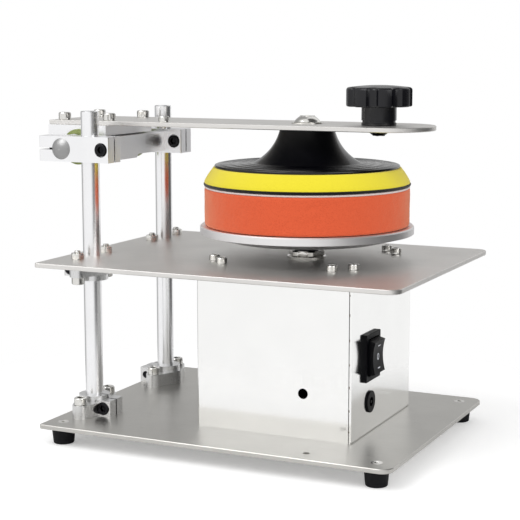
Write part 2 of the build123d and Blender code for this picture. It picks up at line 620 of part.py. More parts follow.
with BuildPart() as switch_rocker:
    half = WELL_HEIGHT / 2 - ROCKER_GAP
    with BuildSketch(Plane((BEZEL_FACE, *SWITCH_CENTRE), x_dir=(1, 0, 0), z_dir=(0, -1, 0))):
        with BuildLine():
            low = (ROCKER_REACH, -half * ROCKER_END_SHARE)
            high = (ROCKER_REACH, half * ROCKER_END_SHARE)
            root_low = (-ROCKER_DEPTH, -half * ROCKER_ROOT_SHARE)
            root_high = (-ROCKER_DEPTH, half * ROCKER_ROOT_SHARE)
            ThreePointArc(low, (ROCKER_WAIST, 0), high)
            Polyline(high, (0, half - ROCKER_GAP), root_high, root_low, (0, ROCKER_GAP - half), low)
        make_face()
    extrude(amount=WELL_WIDTH / 2 - ROCKER_GAP, both=True)
    with Locations((ROCKER_AXIS_X, *SWITCH_CENTRE)):
        pin_length = SWITCH_BODY_WIDTH - 2 * ROCKER_PIN_FIT
        Cylinder(ROCKER_PIN_RADIUS, pin_length, rotation=(90, 0, 0))

TERMINAL_BACK = HOUSE_X1 - SWITCH_BODY_DEPTH
with BuildPart() as switch_terminals:
    with Locations((TERMINAL_BACK - TERMINAL_SIZE[0] / 2, *SWITCH_CENTRE)):
        with GridLocations(0, TERMINAL_SPACING, 1, 2):
            for level in (-1, 0, 1):
                with Locations((0, 0, level * TERMINAL_SPACING)):
                    Box(*TERMINAL_SIZE)

# Round inlet with its pin, nut and rear contacts
with BuildPart() as dc_inlet:
    with BuildSketch(Plane.YZ.offset(HOUSE_X1)):
        with Locations(JACK_CENTRE):
            Circle(JACK_FLANGE_RADIUS)
    extrude(amount=JACK_FLANGE)
    fillet(dc_inlet.faces().sort_by(Axis.X)[-1].edges(), JACK_FLANGE / 4)
    with BuildSketch(Plane.YZ.offset(HOUSE_X1)):
        with Locations(JACK_CENTRE):
            Circle(JACK_THREAD_RADIUS)
    extrude(amount=-(JACK_LENGTH - JACK_FLANGE))
    with BuildSketch(Plane.YZ.offset(HOUSE_X1 + JACK_FLANGE)):
        with Locations(JACK_CENTRE):
            Circle(JACK_BORE_RADIUS)
            Circle(JACK_PIN_RADIUS, mode=Mode.SUBTRACT)
    extrude(amount=-JACK_BORE_DEPTH, mode=Mode.SUBTRACT)

with BuildPart() as dc_inlet_nut:
    with BuildSketch(Plane.YZ.offset(HOUSE_X1 - SHEET)):
        with Locations(JACK_CENTRE):
            RegularPolygon(JACK_NUT[0], 6, major_radius=False)
            Circle(JACK_THREAD_RADIUS + SCREW_GAP, mode=Mode.SUBTRACT)
    extrude(amount=-JACK_NUT[1])

# Motor, hung under the table plate by its threaded boss
BOSS_TOP = TABLE_TOP + LOCK_WASHER[1] + LOCK_NUT[1] + MOTOR_BOSS_CHAMFER
CAN_BOTTOM = TABLE_BOTTOM - MOTOR_CAN_HEIGHT
CAP_BOTTOM = CAN_BOTTOM - END_CAP_HEIGHT
MOTOR_BORE = MOTOR_RADIUS - MOTOR_WALL
with BuildPart() as motor_can:
    with Locations((AXIS_X, AXIS_Y, CAN_BOTTOM)):
        Cylinder(MOTOR_RADIUS, MOTOR_CAN_HEIGHT, align=MIN_Z)
    fillet(motor_can.edges().sort_by(Axis.Z)[-1], MOTOR_WALL / 2)
    with Locations((AXIS_X, AXIS_Y, CAN_BOTTOM)):
        Cylinder(MOTOR_BOSS_RADIUS, BOSS_TOP - CAN_BOTTOM, align=MIN_Z)
    chamfer(motor_can.edges().sort_by(Axis.Z)[-1], MOTOR_BOSS_CHAMFER)
    with Locations((AXIS_X, AXIS_Y, CAN_BOTTOM)):
        Cylinder(MOTOR_BORE, MOTOR_CAN_HEIGHT - MOTOR_FACE, align=MIN_Z, mode=Mode.SUBTRACT)
        Cylinder(BEARING_RADIUS, BOSS_TOP - CAN_BOTTOM, align=MIN_Z, mode=Mode.SUBTRACT)

with BuildPart() as motor_lock_washer:
    with BuildSketch(Plane.XY.offset(TABLE_TOP)):
        with Locations((AXIS_X, AXIS_Y)):
            Circle(LOCK_WASHER[0])
            Circle(MOTOR_BOSS_RADIUS + SCREW_GAP, mode=Mode.SUBTRACT)
    extrude(amount=LOCK_WASHER[1])

with BuildPart() as motor_lock_nut:
    with Locations((AXIS_X, AXIS_Y, TABLE_TOP + LOCK_WASHER[1])):
        add(nut(LOCK_NUT, MOTOR_BOSS_RADIUS))

with BuildPart() as motor_end_cap:
    with Locations((AXIS_X, AXIS_Y, CAP_BOTTOM)):
        Cylinder(MOTOR_RADIUS, END_CAP_HEIGHT, align=MIN_Z)
    fillet(motor_end_cap.edges().sort_by(Axis.Z)[0], MOTOR_WALL / 2)
    with Locations((AXIS_X, AXIS_Y, CAP_BOTTOM + END_CAP_HEIGHT / 2)):
        Cylinder(BEARING_RADIUS, END_CAP_HEIGHT, align=MIN_Z, mode=Mode.SUBTRACT)

FRONT_BEARING_TOP = BOSS_TOP - MOTOR_BOSS_CHAMFER
REAR_BEARING_BOTTOM = CAP_BOTTOM + END_CAP_HEIGHT / 2
with BuildPart() as motor_bearings:
    with BuildSketch(Plane.XY.offset(REAR_BEARING_BOTTOM)):
        with Locations((AXIS_X, AXIS_Y)):
            Circle(BEARING_RADIUS - SHAFT_FIT)
            Circle(SHAFT_RADIUS + SHAFT_FIT, mode=Mode.SUBTRACT)
    extrude(amount=BEARING_HEIGHT)
    with BuildSketch(Plane.XY.offset(FRONT_BEARING_TOP)):
        with Locations((AXIS_X, AXIS_Y)):
            Circle(BEARING_RADIUS - SHAFT_FIT)
            Circle(SHAFT_RADIUS + SHAFT_FIT, mode=Mode.SUBTRACT)
    extrude(amount=-BEARING_HEIGHT)

MAGNET_BOTTOM = CAN_BOTTOM + (MOTOR_CAN_HEIGHT - MOTOR_FACE - MAGNET_HEIGHT) / 2
MAGNET_RADIUS = MOTOR_BORE - MAGNET_GLUE_GAP
with BuildPart() as motor_magnets:
    with BuildSketch(Plane.XY.offset(MAGNET_BOTTOM)):
        with Locations((AXIS_X, AXIS_Y)):
            Circle(MAGNET_RADIUS)
            Circle(MAGNET_RADIUS - MAGNET_THICKNESS, mode=Mode.SUBTRACT)
            Rectangle(2 * MOTOR_RADIUS * cos(radians(MAGNET_SPAN / 2)), 3 * MOTOR_RADIUS, mode=Mode.SUBTRACT)
    extrude(amount=MAGNET_HEIGHT)

# Brushes ride on the commutator just above the end cap
COMMUTATOR_BOTTOM = CAN_BOTTOM + COMMUTATOR_RISE
with BuildPart() as motor_brushes:
    reach = COMMUTATOR_RADIUS + BRUSH_GAP + BRUSH_SIZE[0] / 2
    for side in (-1, 1):
        with Locations((AXIS_X + side * reach, AXIS_Y, CAN_BOTTOM)):
            Box(*BRUSH_SIZE, align=MIN_Z)

with BuildPart() as motor_terminals:
    for side in (-1, 1):
        with Locations((AXIS_X + side * MOTOR_TERMINAL_X, AXIS_Y, CAP_BOTTOM)):
            Box(*MOTOR_TERMINAL, align=MAX_Z)

# Rotor
CORE_RADIUS = MAGNET_RADIUS - MAGNET_THICKNESS - MOTOR_AIR_GAP
CORE_BOTTOM = MAGNET_BOTTOM + (MAGNET_HEIGHT - CORE_HEIGHT) / 2
SHAFT_BOTTOM = REAR_BEARING_BOTTOM + SHAFT_END_GAP
SHAFT_TOP = PLATTER_BOTTOM - SHAFT_END_GAP
with BuildPart() as motor_shaft:
    with Locations((AXIS_X, AXIS_Y, SHAFT_BOTTOM)):
        Cylinder(SHAFT_RADIUS, SHAFT_TOP - SHAFT_BOTTOM, align=MIN_Z)
    chamfer(motor_shaft.faces().filter_by(Axis.Z).edges(), SHAFT_CHAMFER)

with BuildPart() as motor_armature:
    with BuildSketch(Plane.XY.offset(CORE_BOTTOM)):
        with Locations((AXIS_X, AXIS_Y)):
            Circle(CORE_RADIUS)
            with PolarLocations(CORE_RADIUS, CORE_SLOTS):
                Circle(CORE_SLOT_RADIUS, mode=Mode.SUBTRACT)
            Circle(SHAFT_RADIUS + SHAFT_FIT, mode=Mode.SUBTRACT)
    extrude(amount=CORE_HEIGHT)

with BuildPart() as motor_commutator:
    with BuildSketch(Plane.XY.offset(COMMUTATOR_BOTTOM)):
        with Locations((AXIS_X, AXIS_Y)):
            Circle(COMMUTATOR_RADIUS)
            Circle(SHAFT_RADIUS + SHAFT_FIT, mode=Mode.SUBTRACT)
    extrude(amount=COMMUTATOR_HEIGHT)

# Turntable and its hub
HUB_BOTTOM = BOSS_TOP + HUB_CLEARANCE
HUB_FLANGE_BOTTOM = PLATTER_BOTTOM - HUB_FLANGE[1]
SET_SCREW_Z = (HUB_BOTTOM + HUB_FLANGE_BOTTOM) / 2
with BuildPart() as turntable_hub:
    with Locations((AXIS_X, AXIS_Y, HUB_BOTTOM)):
        Cylinder(HUB_NECK_RADIUS, PLATTER_BOTTOM - HUB_BOTTOM, align=MIN_Z)
    with Locations((AXIS_X, AXIS_Y, HUB_FLANGE_BOTTOM)):
        Cylinder(HUB_FLANGE[0], HUB_FLANGE[1], align=MIN_Z)
    with Locations((AXIS_X, AXIS_Y, PLATTER_BOTTOM)):
        Cylinder(DISC_SPIGOT[0], TURNTABLE_THICKNESS + DISC_SPIGOT[1], align=MIN_Z)
    chamfer(turntable_hub.edges().sort_by(Axis.Z)[-1], SPIGOT_CHAMFER)
    with Locations((AXIS_X, AXIS_Y, HUB_BOTTOM)):
        Cylinder(SHAFT_RADIUS + SHAFT_FIT, PLATTER_BOTTOM - HUB_BOTTOM, align=MIN_Z, mode=Mode.SUBTRACT)
        with PolarLocations(HUB_SCREW_CIRCLE, HUB_SCREW_COUNT):
            Cylinder(M3[0] + SCREW_GAP, 2 * TURNTABLE_TOP, align=MIN_Z, mode=Mode.SUBTRACT)
    with BuildSketch(Plane.XZ.offset(-AXIS_Y)):
        with Locations((AXIS_X, SET_SCREW_Z)):
            Circle(SET_SCREW_RADIUS + SCREW_GAP)
    extrude(amount=HUB_NECK_RADIUS, mode=Mode.SUBTRACT)

with BuildPart() as hub_set_screw:
    with BuildSketch(Plane.XZ.offset(-AXIS_Y + SHAFT_RADIUS + SHAFT_FIT)):
        with Locations((AXIS_X, SET_SCREW_Z)):
            Circle(SET_SCREW_RADIUS)
    extrude(amount=HUB_NECK_RADIUS - SHAFT_RADIUS - 2 * SHAFT_FIT)

with BuildPart() as turntable:
    with BuildSketch(Plane((AXIS_X, AXIS_Y, PLATTER_TOP), x_dir=(1, 0, 0), z_dir=(0, -1, 0))):
        ring_outer, ring_inner, ring_depth = TURNTABLE_RING
        with BuildLine():
            Polyline(
                (0, 0),
                (TURNTABLE_RADIUS, 0),
                (TURNTABLE_RADIUS, -TURNTABLE_RIM),
                (ring_outer, -ring_depth),
                (ring_inner, -ring_depth),
                (ring_inner, -TURNTABLE_THICKNESS),
                (0, -TURNTABLE_THICKNESS),
                (0, 0),
            )
        make_face()
    revolve(axis=Axis((AXIS_X, AXIS_Y, 0), (0, 0, 1)))
    chamfer(turntable.faces().sort_by(Axis.Z)[-1].edges(), TURNTABLE_CHAMFER)
    with Locations((AXIS_X, AXIS_Y, PLATTER_TOP)):
        Hole(DISC_SPIGOT[0] + SCREW_GAP)
        with PolarLocations(HUB_SCREW_CIRCLE, HUB_SCREW_COUNT):
            CounterSinkHole(M3[0] + SCREW_GAP, M3[1] + SCREW_GAP, counter_sink_angle=90)

with BuildPart() as turntable_screws:
    with Locations((AXIS_X, AXIS_Y, PLATTER_TOP)):
        with PolarLocations(HUB_SCREW_CIRCLE, HUB_SCREW_COUNT):
            add(flat_screw(M3[0], M3[1], TURNTABLE_THICKNESS + HUB_FLANGE[1]))

# Polishing pad
with BuildPart() as polishing_sponge:
    with Locations((AXIS_X, AXIS_Y, SPONGE_BOTTOM)):
        Cylinder(*SPONGE, align=MIN_Z)
    fillet(polishing_sponge.edges().sort_by(Axis.Z)[0], SPONGE_EDGE_RADIUS)
    with Locations((AXIS_X, AXIS_Y, SPONGE_BOTTOM)):
        Cylinder(SPONGE_BORE_RADIUS, SPONGE[1], align=MIN_Z, mode=Mode.SUBTRACT)

with BuildPart() as loop_layer:
    with Locations((AXIS_X, AXIS_Y, LOOP_BOTTOM)):
        Cylinder(SPONGE[0], LOOP_THICKNESS, align=MIN_Z)

with BuildPart() as hook_layer:
    with Locations((AXIS_X, AXIS_Y, HOOK_BOTTOM)):
        Cylinder(FOAM[0], HOOK_THICKNESS, align=MIN_Z)

with BuildPart() as pad_foam:
    with Locations((AXIS_X, AXIS_Y, FOAM_BOTTOM)):
        Cone(*FOAM, align=MIN_Z)

INSERT_BOTTOM = ARM_BOTTOM - INSERT[1]
with BuildPart() as pad_backing:
    with BuildSketch(Plane.XZ.offset(-AXIS_Y)):
        with BuildLine():
            rim = (AXIS_X + BACKING_RADIUS, BACKING_BOTTOM)
            shoulder = (AXIS_X + BACKING_RADIUS, BACKING_BOTTOM + BACKING_FLANGE)
            flare = (AXIS_X + FLARE_RADIUS, BACKING_BOTTOM + BACKING_FLANGE + FLARE_RISE)
            waist = (AXIS_X + FLARE_WAIST[0], BACKING_BOTTOM + FLARE_WAIST[1])
            top = (AXIS_X + HUB_TOP_RADIUS, ARM_BOTTOM)
            Polyline((AXIS_X, BACKING_BOTTOM), rim, shoulder, flare)
            ThreePointArc(flare, waist, top)
            Polyline(top, (AXIS_X, ARM_BOTTOM), (AXIS_X, BACKING_BOTTOM))
        make_face()
    revolve(axis=Axis((AXIS_X, AXIS_Y, 0), (0, 0, 1)))
    with Locations((AXIS_X, AXIS_Y, INSERT_BOTTOM)):
        Cylinder(*INSERT, align=MIN_Z, mode=Mode.SUBTRACT)

with BuildPart() as pad_insert:
    with Locations((AXIS_X, AXIS_Y, INSERT_BOTTOM)):
        Cylinder(INSERT[0] - SCREW_GAP, INSERT[1], align=MIN_Z)
    with Locations((AXIS_X, AXIS_Y, ARM_BOTTOM)):
        Cylinder(PAD_BOLT_RADIUS + SCREW_GAP, PAD_BOLT_LENGTH, align=MAX_Z, mode=Mode.SUBTRACT)

with BuildPart() as pad_washer:
    with BuildSketch(Plane.XY.offset(ARM_TOP)):
        with Locations((AXIS_X, AXIS_Y)):
            Circle(PAD_WASHER[0])
            Circle(PAD_BOLT_RADIUS + SCREW_GAP, mode=Mode.SUBTRACT)
    extrude(amount=PAD_WASHER[1])

with BuildPart() as pad_bolt:
    with Locations((AXIS_X, AXIS_Y, ARM_TOP + PAD_WASHER[1])):
        length = PAD_BOLT_LENGTH + ARM_THICKNESS + PAD_WASHER[1] - SCREW_END_GAP
        add(dome_screw(PAD_BOLT_RADIUS, *PAD_BOLT_HEAD, length))

# Arm plate with its screws
ARM_SCREWS = [
    (LEFT + x, AXIS_Y + side * ARM_SCREW_ROWS / 2)
    for x in (ARM_SCREW_LEFT, ARM_SCREW_RIGHT)
    for side in (-1, 1)
]
STOP_PLACE = (LEFT + STOP_SCREW[0], AXIS_Y + STOP_SCREW[1])
KNOB_PLACE = (LEFT + KNOB_X, AXIS_Y)
with BuildPart() as arm_plate:
    with BuildSketch(Plane.XY.offset(ARM_BOTTOM)):
        with BuildLine():
            tip = LEFT + ARM_TIP
            bend = tip - ARM_WIDTH / 2
            front = AXIS_Y - ARM_WIDTH / 2
            back = AXIS_Y + ARM_WIDTH / 2
            Line((bend, front), (LEFT + ARM_LEFT, front))
            Line((LEFT + ARM_LEFT, front), (LEFT + ARM_LEFT, back))
            Line((LEFT + ARM_LEFT, back), (bend, back))
            ThreePointArc((bend, back), (tip, AXIS_Y), (bend, front))
        make_face()
        with Locations(*ARM_SCREWS):
            Circle(M5[0] + SCREW_GAP, mode=Mode.SUBTRACT)
        with Locations(STOP_PLACE):
            Circle(M4[0] + SCREW_GAP, mode=Mode.SUBTRACT)
        with Locations((AXIS_X, AXIS_Y)):
            Circle(PAD_BOLT_RADIUS + SCREW_GAP, mode=Mode.SUBTRACT)
        with Locations(KNOB_PLACE):
            Circle(KNOB_SCREW_RADIUS + SCREW_GAP, mode=Mode.SUBTRACT)
    extrude(amount=ARM_THICKNESS)
    chamfer(arm_plate.faces().filter_by(Axis.Z).edges().filter_by(GeomType.LINE), PLATE_EDGE_BREAK)

with BuildPart() as arm_screws:
    with Locations(*[(x, y, ARM_TOP) for x, y in ARM_SCREWS]):
        add(cap_screw(M5, ARM_SCREW_LENGTH))

with BuildPart() as stop_screw:
    with Locations((*STOP_PLACE, ARM_TOP)):
        add(cap_screw(M4, ARM_THICKNESS + THREAD_STANDOUT))

# Star knob
KNOB_HEAD_BOTTOM = ARM_TOP + KNOB_STEM[1]
with BuildPart() as star_knob:
    with BuildSketch(Plane.XY.offset(KNOB_HEAD_BOTTOM)):
        with Locations(KNOB_PLACE):
            Circle(KNOB_RADIUS)
            with PolarLocations(KNOB_RADIUS + KNOB_SCALLOP[1], KNOB_LOBES, start_angle=KNOB_PHASE):
                Circle(KNOB_SCALLOP[0], mode=Mode.SUBTRACT)
    extrude(amount=KNOB_HEAD_HEIGHT + KNOB_DOME)
    sphere_radius = (KNOB_RADIUS**2 + KNOB_DOME**2) / (2 * KNOB_DOME)
    with Locations((*KNOB_PLACE, KNOB_HEAD_BOTTOM + KNOB_HEAD_HEIGHT + KNOB_DOME - sphere_radius)):
        Sphere(sphere_radius, mode=Mode.INTERSECT)
    with Locations((*KNOB_PLACE, ARM_TOP)):
        Cylinder(KNOB_STEM[0], KNOB_STEM[1], align=MIN_Z)
    with BuildSketch(Plane.XY.offset(ARM_TOP + KNOB_GROOVE[1])):
        with Locations(KNOB_PLACE):
            Circle(KNOB_STEM[0])
            Circle(KNOB_STEM[0] - KNOB_GROOVE[0], mode=Mode.SUBTRACT)
    extrude(amount=KNOB_GROOVE[1], mode=Mode.SUBTRACT)
    with Locations((*KNOB_PLACE, ARM_TOP)):
        Cylinder(*KNOB_INSERT, align=MIN_Z, mode=Mode.SUBTRACT)

with BuildPart() as knob_insert:
    with Locations((*KNOB_PLACE, ARM_TOP)):
        Cylinder(KNOB_INSERT[0] - SCREW_GAP, KNOB_INSERT[1], align=MIN_Z)
        hole_depth = KNOB_INSERT[1] - KNOB_INSERT_FLOOR
        Cylinder(KNOB_SCREW_RADIUS + SCREW_GAP, hole_depth, align=MIN_Z, mode=Mode.SUBTRACT)

with BuildPart() as knob_screw:
    with Locations(Location((*KNOB_PLACE, ARM_BOTTOM), (180, 0, 0))):
        length = ARM_THICKNESS + KNOB_INSERT[1] - KNOB_INSERT_FLOOR - SCREW_END_GAP
        add(dome_screw(KNOB_SCREW_RADIUS, *KNOB_SCREW_HEAD, length))

# Hinge block: a slab under the arm plate with a barrel round the pivot shaft
HINGE_LENGTH = HINGE_Y[1] - HINGE_Y[0]
with BuildPart() as hinge_block:
    with BuildSketch(Plane.XZ.offset(-HINGE_Y[0])):
        with Locations(PIVOT):
            Circle(BARREL_RADIUS)
        with Locations((LEFT + PIVOT_X, SLAB_BOTTOM)):
            Rectangle(2 * BARREL_RADIUS, SLAB_BOTTOM - PIVOT[1], align=(Align.CENTER, Align.MAX))
        with Locations((LEFT + HINGE_SLAB[0], SLAB_BOTTOM)):
            Rectangle(HINGE_SLAB[1] - HINGE_SLAB[0], HINGE_SLAB[2], align=(Align.MIN, Align.MIN))
        with Locations(PIVOT):
            Circle(PIVOT_RADIUS + HINGE_RELIEF, mode=Mode.SUBTRACT)
    extrude(amount=-HINGE_LENGTH)
    for end, way in ((HINGE_Y[0], -1), (HINGE_Y[1], 1)):
        with BuildSketch(Plane.XZ.offset(-end)):
            with Locations(PIVOT):
                Circle(BUSH_SLEEVE[0] + PIVOT_FIT)
        extrude(amount=way * BUSH_SLEEVE[1], mode=Mode.SUBTRACT)
    for x, y in ARM_SCREWS:
        with Locations((x, y, ARM_BOTTOM)):
            hole_depth = ARM_SCREW_LENGTH - ARM_THICKNESS + SCREW_GAP
            Cylinder(M5[0] + SCREW_GAP, hole_depth, align=MAX_Z, mode=Mode.SUBTRACT)

with BuildPart() as pivot_bushes:
    for end, way in ((HINGE_Y[0], -1), (HINGE_Y[1], 1)):
        with BuildSketch(Plane.XZ.offset(-end)):
            with Locations(PIVOT):
                Circle(BUSH_FLANGE[0])
        extrude(amount=-way * BUSH_FLANGE[1])
        with BuildSketch(Plane.XZ.offset(-end)):
            with Locations(PIVOT):
                Circle(BUSH_SLEEVE[0])
        extrude(amount=way * BUSH_SLEEVE[1])
        with BuildSketch(Plane.XZ.offset(-end + BUSH_FLANGE[1])):
            with Locations(PIVOT):
                Circle(PIVOT_RADIUS + PIVOT_FIT)
        extrude(amount=-2 * (BUSH_FLANGE[1] + BUSH_SLEEVE[1]), both=True, mode=Mode.SUBTRACT)

# Pivot shaft and the spacers that centre the arm on it
SHAFT_Y0 = ROD_Y[0] - YOKE_BLOCK_DEPTH / 2
SHAFT_Y1 = ROD_Y[1] + YOKE_BLOCK_DEPTH / 2
with BuildPart() as pivot_shaft:
    with BuildSketch(Plane((PIVOT[0], 0, PIVOT[1]))):
        with BuildLine():
            ball = (PIVOT_RADIUS**2 + PIVOT_DOME**2) / (2 * PIVOT_DOME)
            half_rise = ball - sqrt(ball**2 - (PIVOT_RADIUS / 2) ** 2)
            tip = (0, SHAFT_Y0 - PIVOT_DOME)
            ThreePointArc(tip, (PIVOT_RADIUS / 2, tip[1] + half_rise), (PIVOT_RADIUS, SHAFT_Y0))
            Polyline((PIVOT_RADIUS, SHAFT_Y0), (PIVOT_RADIUS, SHAFT_Y1), (0, SHAFT_Y1), tip)
        make_face()
    revolve(axis=Axis((PIVOT[0], 0, PIVOT[1]), (0, 1, 0)))

with BuildPart() as pivot_spacers:
    for inner, flange_end, way in (
        (BLOCK_INNER_Y[0], HINGE_Y[0] - BUSH_FLANGE[1], 1),
        (BLOCK_INNER_Y[1], HINGE_Y[1] + BUSH_FLANGE[1], -1),
    ):
        with BuildSketch(Plane.XZ.offset(-inner)):
            with Locations(PIVOT):
                Circle(SPACER_RADIUS)
                Circle(PIVOT_RADIUS + PIVOT_FIT, mode=Mode.SUBTRACT)
        extrude(amount=-(flange_end - inner - way * SPACER_PLAY))

# Yoke: two split clamp blocks and the bar between them
YOKE_BOTTOM = PIVOT[1] - YOKE_HEIGHT / 2
HEAD_SEAT = YOKE_BLOCK_DEPTH / 2 - YOKE_HEAD_SINK
with BuildPart() as yoke:
    for y in ROD_Y:
        with BuildSketch(Plane.XY.offset(YOKE_BOTTOM)):
            with Locations(((2 * LEFT + YOKE_LEFT + YOKE_RIGHT) / 2, y)):
                Rectangle(YOKE_RIGHT - YOKE_LEFT, YOKE_BLOCK_DEPTH)
        extrude(amount=YOKE_HEIGHT)
    fillet(yoke.edges().filter_by(Axis.Z), PLATE_EDGE_BREAK * 2)
    bar_width = YOKE_BAR[1] - YOKE_BAR[0]
    bar_length = BLOCK_INNER_Y[1] - BLOCK_INNER_Y[0]
    with Locations((LEFT + YOKE_BAR[0], BLOCK_INNER_Y[0], PIVOT[1] - YOKE_BAR[2] / 2)):
        Box(bar_width, bar_length, YOKE_BAR[2], align=(Align.MIN, Align.MIN, Align.MIN))
    with BuildSketch(Plane.YZ.offset(LEFT + YOKE_BAR[0])):
        with Locations((BLOCK_INNER_Y[0], PIVOT[1] - YOKE_BAR[2] / 2)):
            drop, reach = YOKE_LIP
            Polygon((0, 0), (reach + drop, 0), (reach, -drop), (0, -drop), align=None)
    extrude(amount=bar_width - YOKE_LIP_SETBACK)
    for x, y in ROD_PLACES:
        with Locations((x, y, PIVOT[1])):
            Cylinder(ROD_RADIUS + ROD_FIT, 2 * YOKE_HEIGHT, mode=Mode.SUBTRACT)
        with Locations((x, y, PIVOT[1])):
            Box(YOKE_RIGHT, CLAMP_SLIT, 2 * YOKE_HEIGHT, align=SLIT_ALIGN, mode=Mode.SUBTRACT)
    with BuildSketch(Plane.XZ.offset(-SHAFT_Y0)):
        with Locations(PIVOT):
            Circle(PIVOT_RADIUS + PIVOT_FIT)
            Rectangle(YOKE_RIGHT, CLAMP_SLIT, align=(Align.MAX, Align.CENTER))
    extrude(amount=-(SHAFT_Y1 - SHAFT_Y0), mode=Mode.SUBTRACT)
    for y in ROD_Y:
        with BuildSketch(Plane.XZ.offset(-y + YOKE_BLOCK_DEPTH / 2)):
            with Locations((LEFT + YOKE_CLAMP_X, PIVOT[1])):
                Circle(M5[0] + SCREW_GAP)
        extrude(amount=-YOKE_BLOCK_DEPTH, mode=Mode.SUBTRACT)
        with BuildSketch(Plane.XZ.offset(-y + YOKE_BLOCK_DEPTH / 2)):
            with Locations((LEFT + YOKE_CLAMP_X, PIVOT[1])):
                Circle(YOKE_COUNTERBORE)
        extrude(amount=-(YOKE_BLOCK_DEPTH / 2 - HEAD_SEAT), mode=Mode.SUBTRACT)
        with Locations((LEFT + PIVOT_CLAMP_X, y, YOKE_BOTTOM)):
            Cylinder(M4[0] + SCREW_GAP, PIVOT_HOLE_DEPTH, align=MIN_Z, mode=Mode.SUBTRACT)
            Cylinder(M4[1] + SCREW_GAP, M4[2] + COUNTERBORE_GAP, align=MIN_Z, mode=Mode.SUBTRACT)

with BuildPart() as yoke_clamp_screws:
    for y in ROD_Y:
        with Locations(Location((LEFT + YOKE_CLAMP_X, y - HEAD_SEAT, PIVOT[1]), (90, 0, 0))):
            add(cap_screw(M5, YOKE_BLOCK_DEPTH / 2 + HEAD_SEAT))

with BuildPart() as pivot_clamp_screws:
    for y in ROD_Y:
        seat = YOKE_BOTTOM + M4[2] + COUNTERBORE_GAP
        with Locations(Location((LEFT + PIVOT_CLAMP_X, y, seat), (180, 0, 0))):
            add(cap_screw(M4, PIVOT_HOLE_DEPTH - SCREW_END_GAP - M4[2] - COUNTERBORE_GAP))

# Wires: from the inlet to the switch's lower contacts, and from its middle ones to the motor


def wire(points):
    """Round wire through the points, each bend as wide as its shorter run allows."""
    corners = [Vector(*point) for point in points]
    runs = [end - start for start, end in zip(corners, corners[1:])]
    radii = []
    for before, after in zip(runs, runs[1:]):
        half_turn = radians(before.get_angle(after)) / 2
        radii.append(0.45 * min(before.length, after.length) / tan(half_turn))
    with BuildPart() as piece:
        with BuildLine() as path:
            FilletPolyline(*points, radius=radii)
        with BuildSketch(Plane(origin=points[0], z_dir=runs[0])):
            Circle(WIRE_RADIUS)
        sweep(path=path.wires()[0])
    print("wire radii", [round(radius, 1) for radius in radii])
    return piece.part


INLET_BACK = HOUSE_X1 + JACK_FLANGE - JACK_LENGTH
CONTACT_BACK = TERMINAL_BACK - TERMINAL_SIZE[0]
TERMINAL_LOW = CAP_BOTTOM - MOTOR_TERMINAL[2]


def wire_lane(side):
    """Y of the lane in front of the motor that a wire goes up or down in."""
    return AXIS_Y - MOTOR_RADIUS - LANE_GAP - (1 - side) * TERMINAL_SPACING / 2


def supply_wire(side):
    """Wire from the inlet to one of the switch's lower contacts."""
    inlet_y = JACK_CENTRE[0] + side * INLET_CONTACT
    switch_y = SWITCH_CENTRE[0] + side * TERMINAL_SPACING / 2
    switch_z = SWITCH_CENTRE[1] - TERMINAL_SPACING
    turn_x = HOUSE_X1 - SUPPLY_REACH
    return wire([
        (INLET_BACK, inlet_y, JACK_CENTRE[1]),
        (turn_x, inlet_y, JACK_CENTRE[1]),
        (turn_x, wire_lane(side), switch_z),
        (CONTACT_BACK - WIRE_STUB, switch_y, switch_z),
        (CONTACT_BACK, switch_y, switch_z),
    ])


def motor_wire(side, reach):
    """Wire from one of the switch's middle contacts to one of the motor's terminals."""
    switch_y = SWITCH_CENTRE[0] + side * TERMINAL_SPACING / 2
    turn_x = HOUSE_X1 - reach
    motor_x = AXIS_X + side * MOTOR_TERMINAL_X
    return wire([
        (CONTACT_BACK, switch_y, SWITCH_CENTRE[1]),
        (CONTACT_BACK - WIRE_STUB, switch_y, SWITCH_CENTRE[1]),
        (turn_x, wire_lane(side), SWITCH_CENTRE[1]),
        (turn_x, wire_lane(side), MOTOR_WIRE_LOW[0]),
        (motor_x, AXIS_Y, MOTOR_WIRE_LOW[1]),
        (motor_x, AXIS_Y, TERMINAL_LOW),
    ])


with BuildPart() as wire_supply_minus:
    add(supply_wire(-1))

with BuildPart() as wire_supply_plus:
    add(supply_wire(1))

with BuildPart() as wire_motor_minus:
    add(motor_wire(-1, MOTOR_WIRE_REACH[0]))

with BuildPart() as wire_motor_plus:
    add(motor_wire(1, MOTOR_WIRE_REACH[1]))

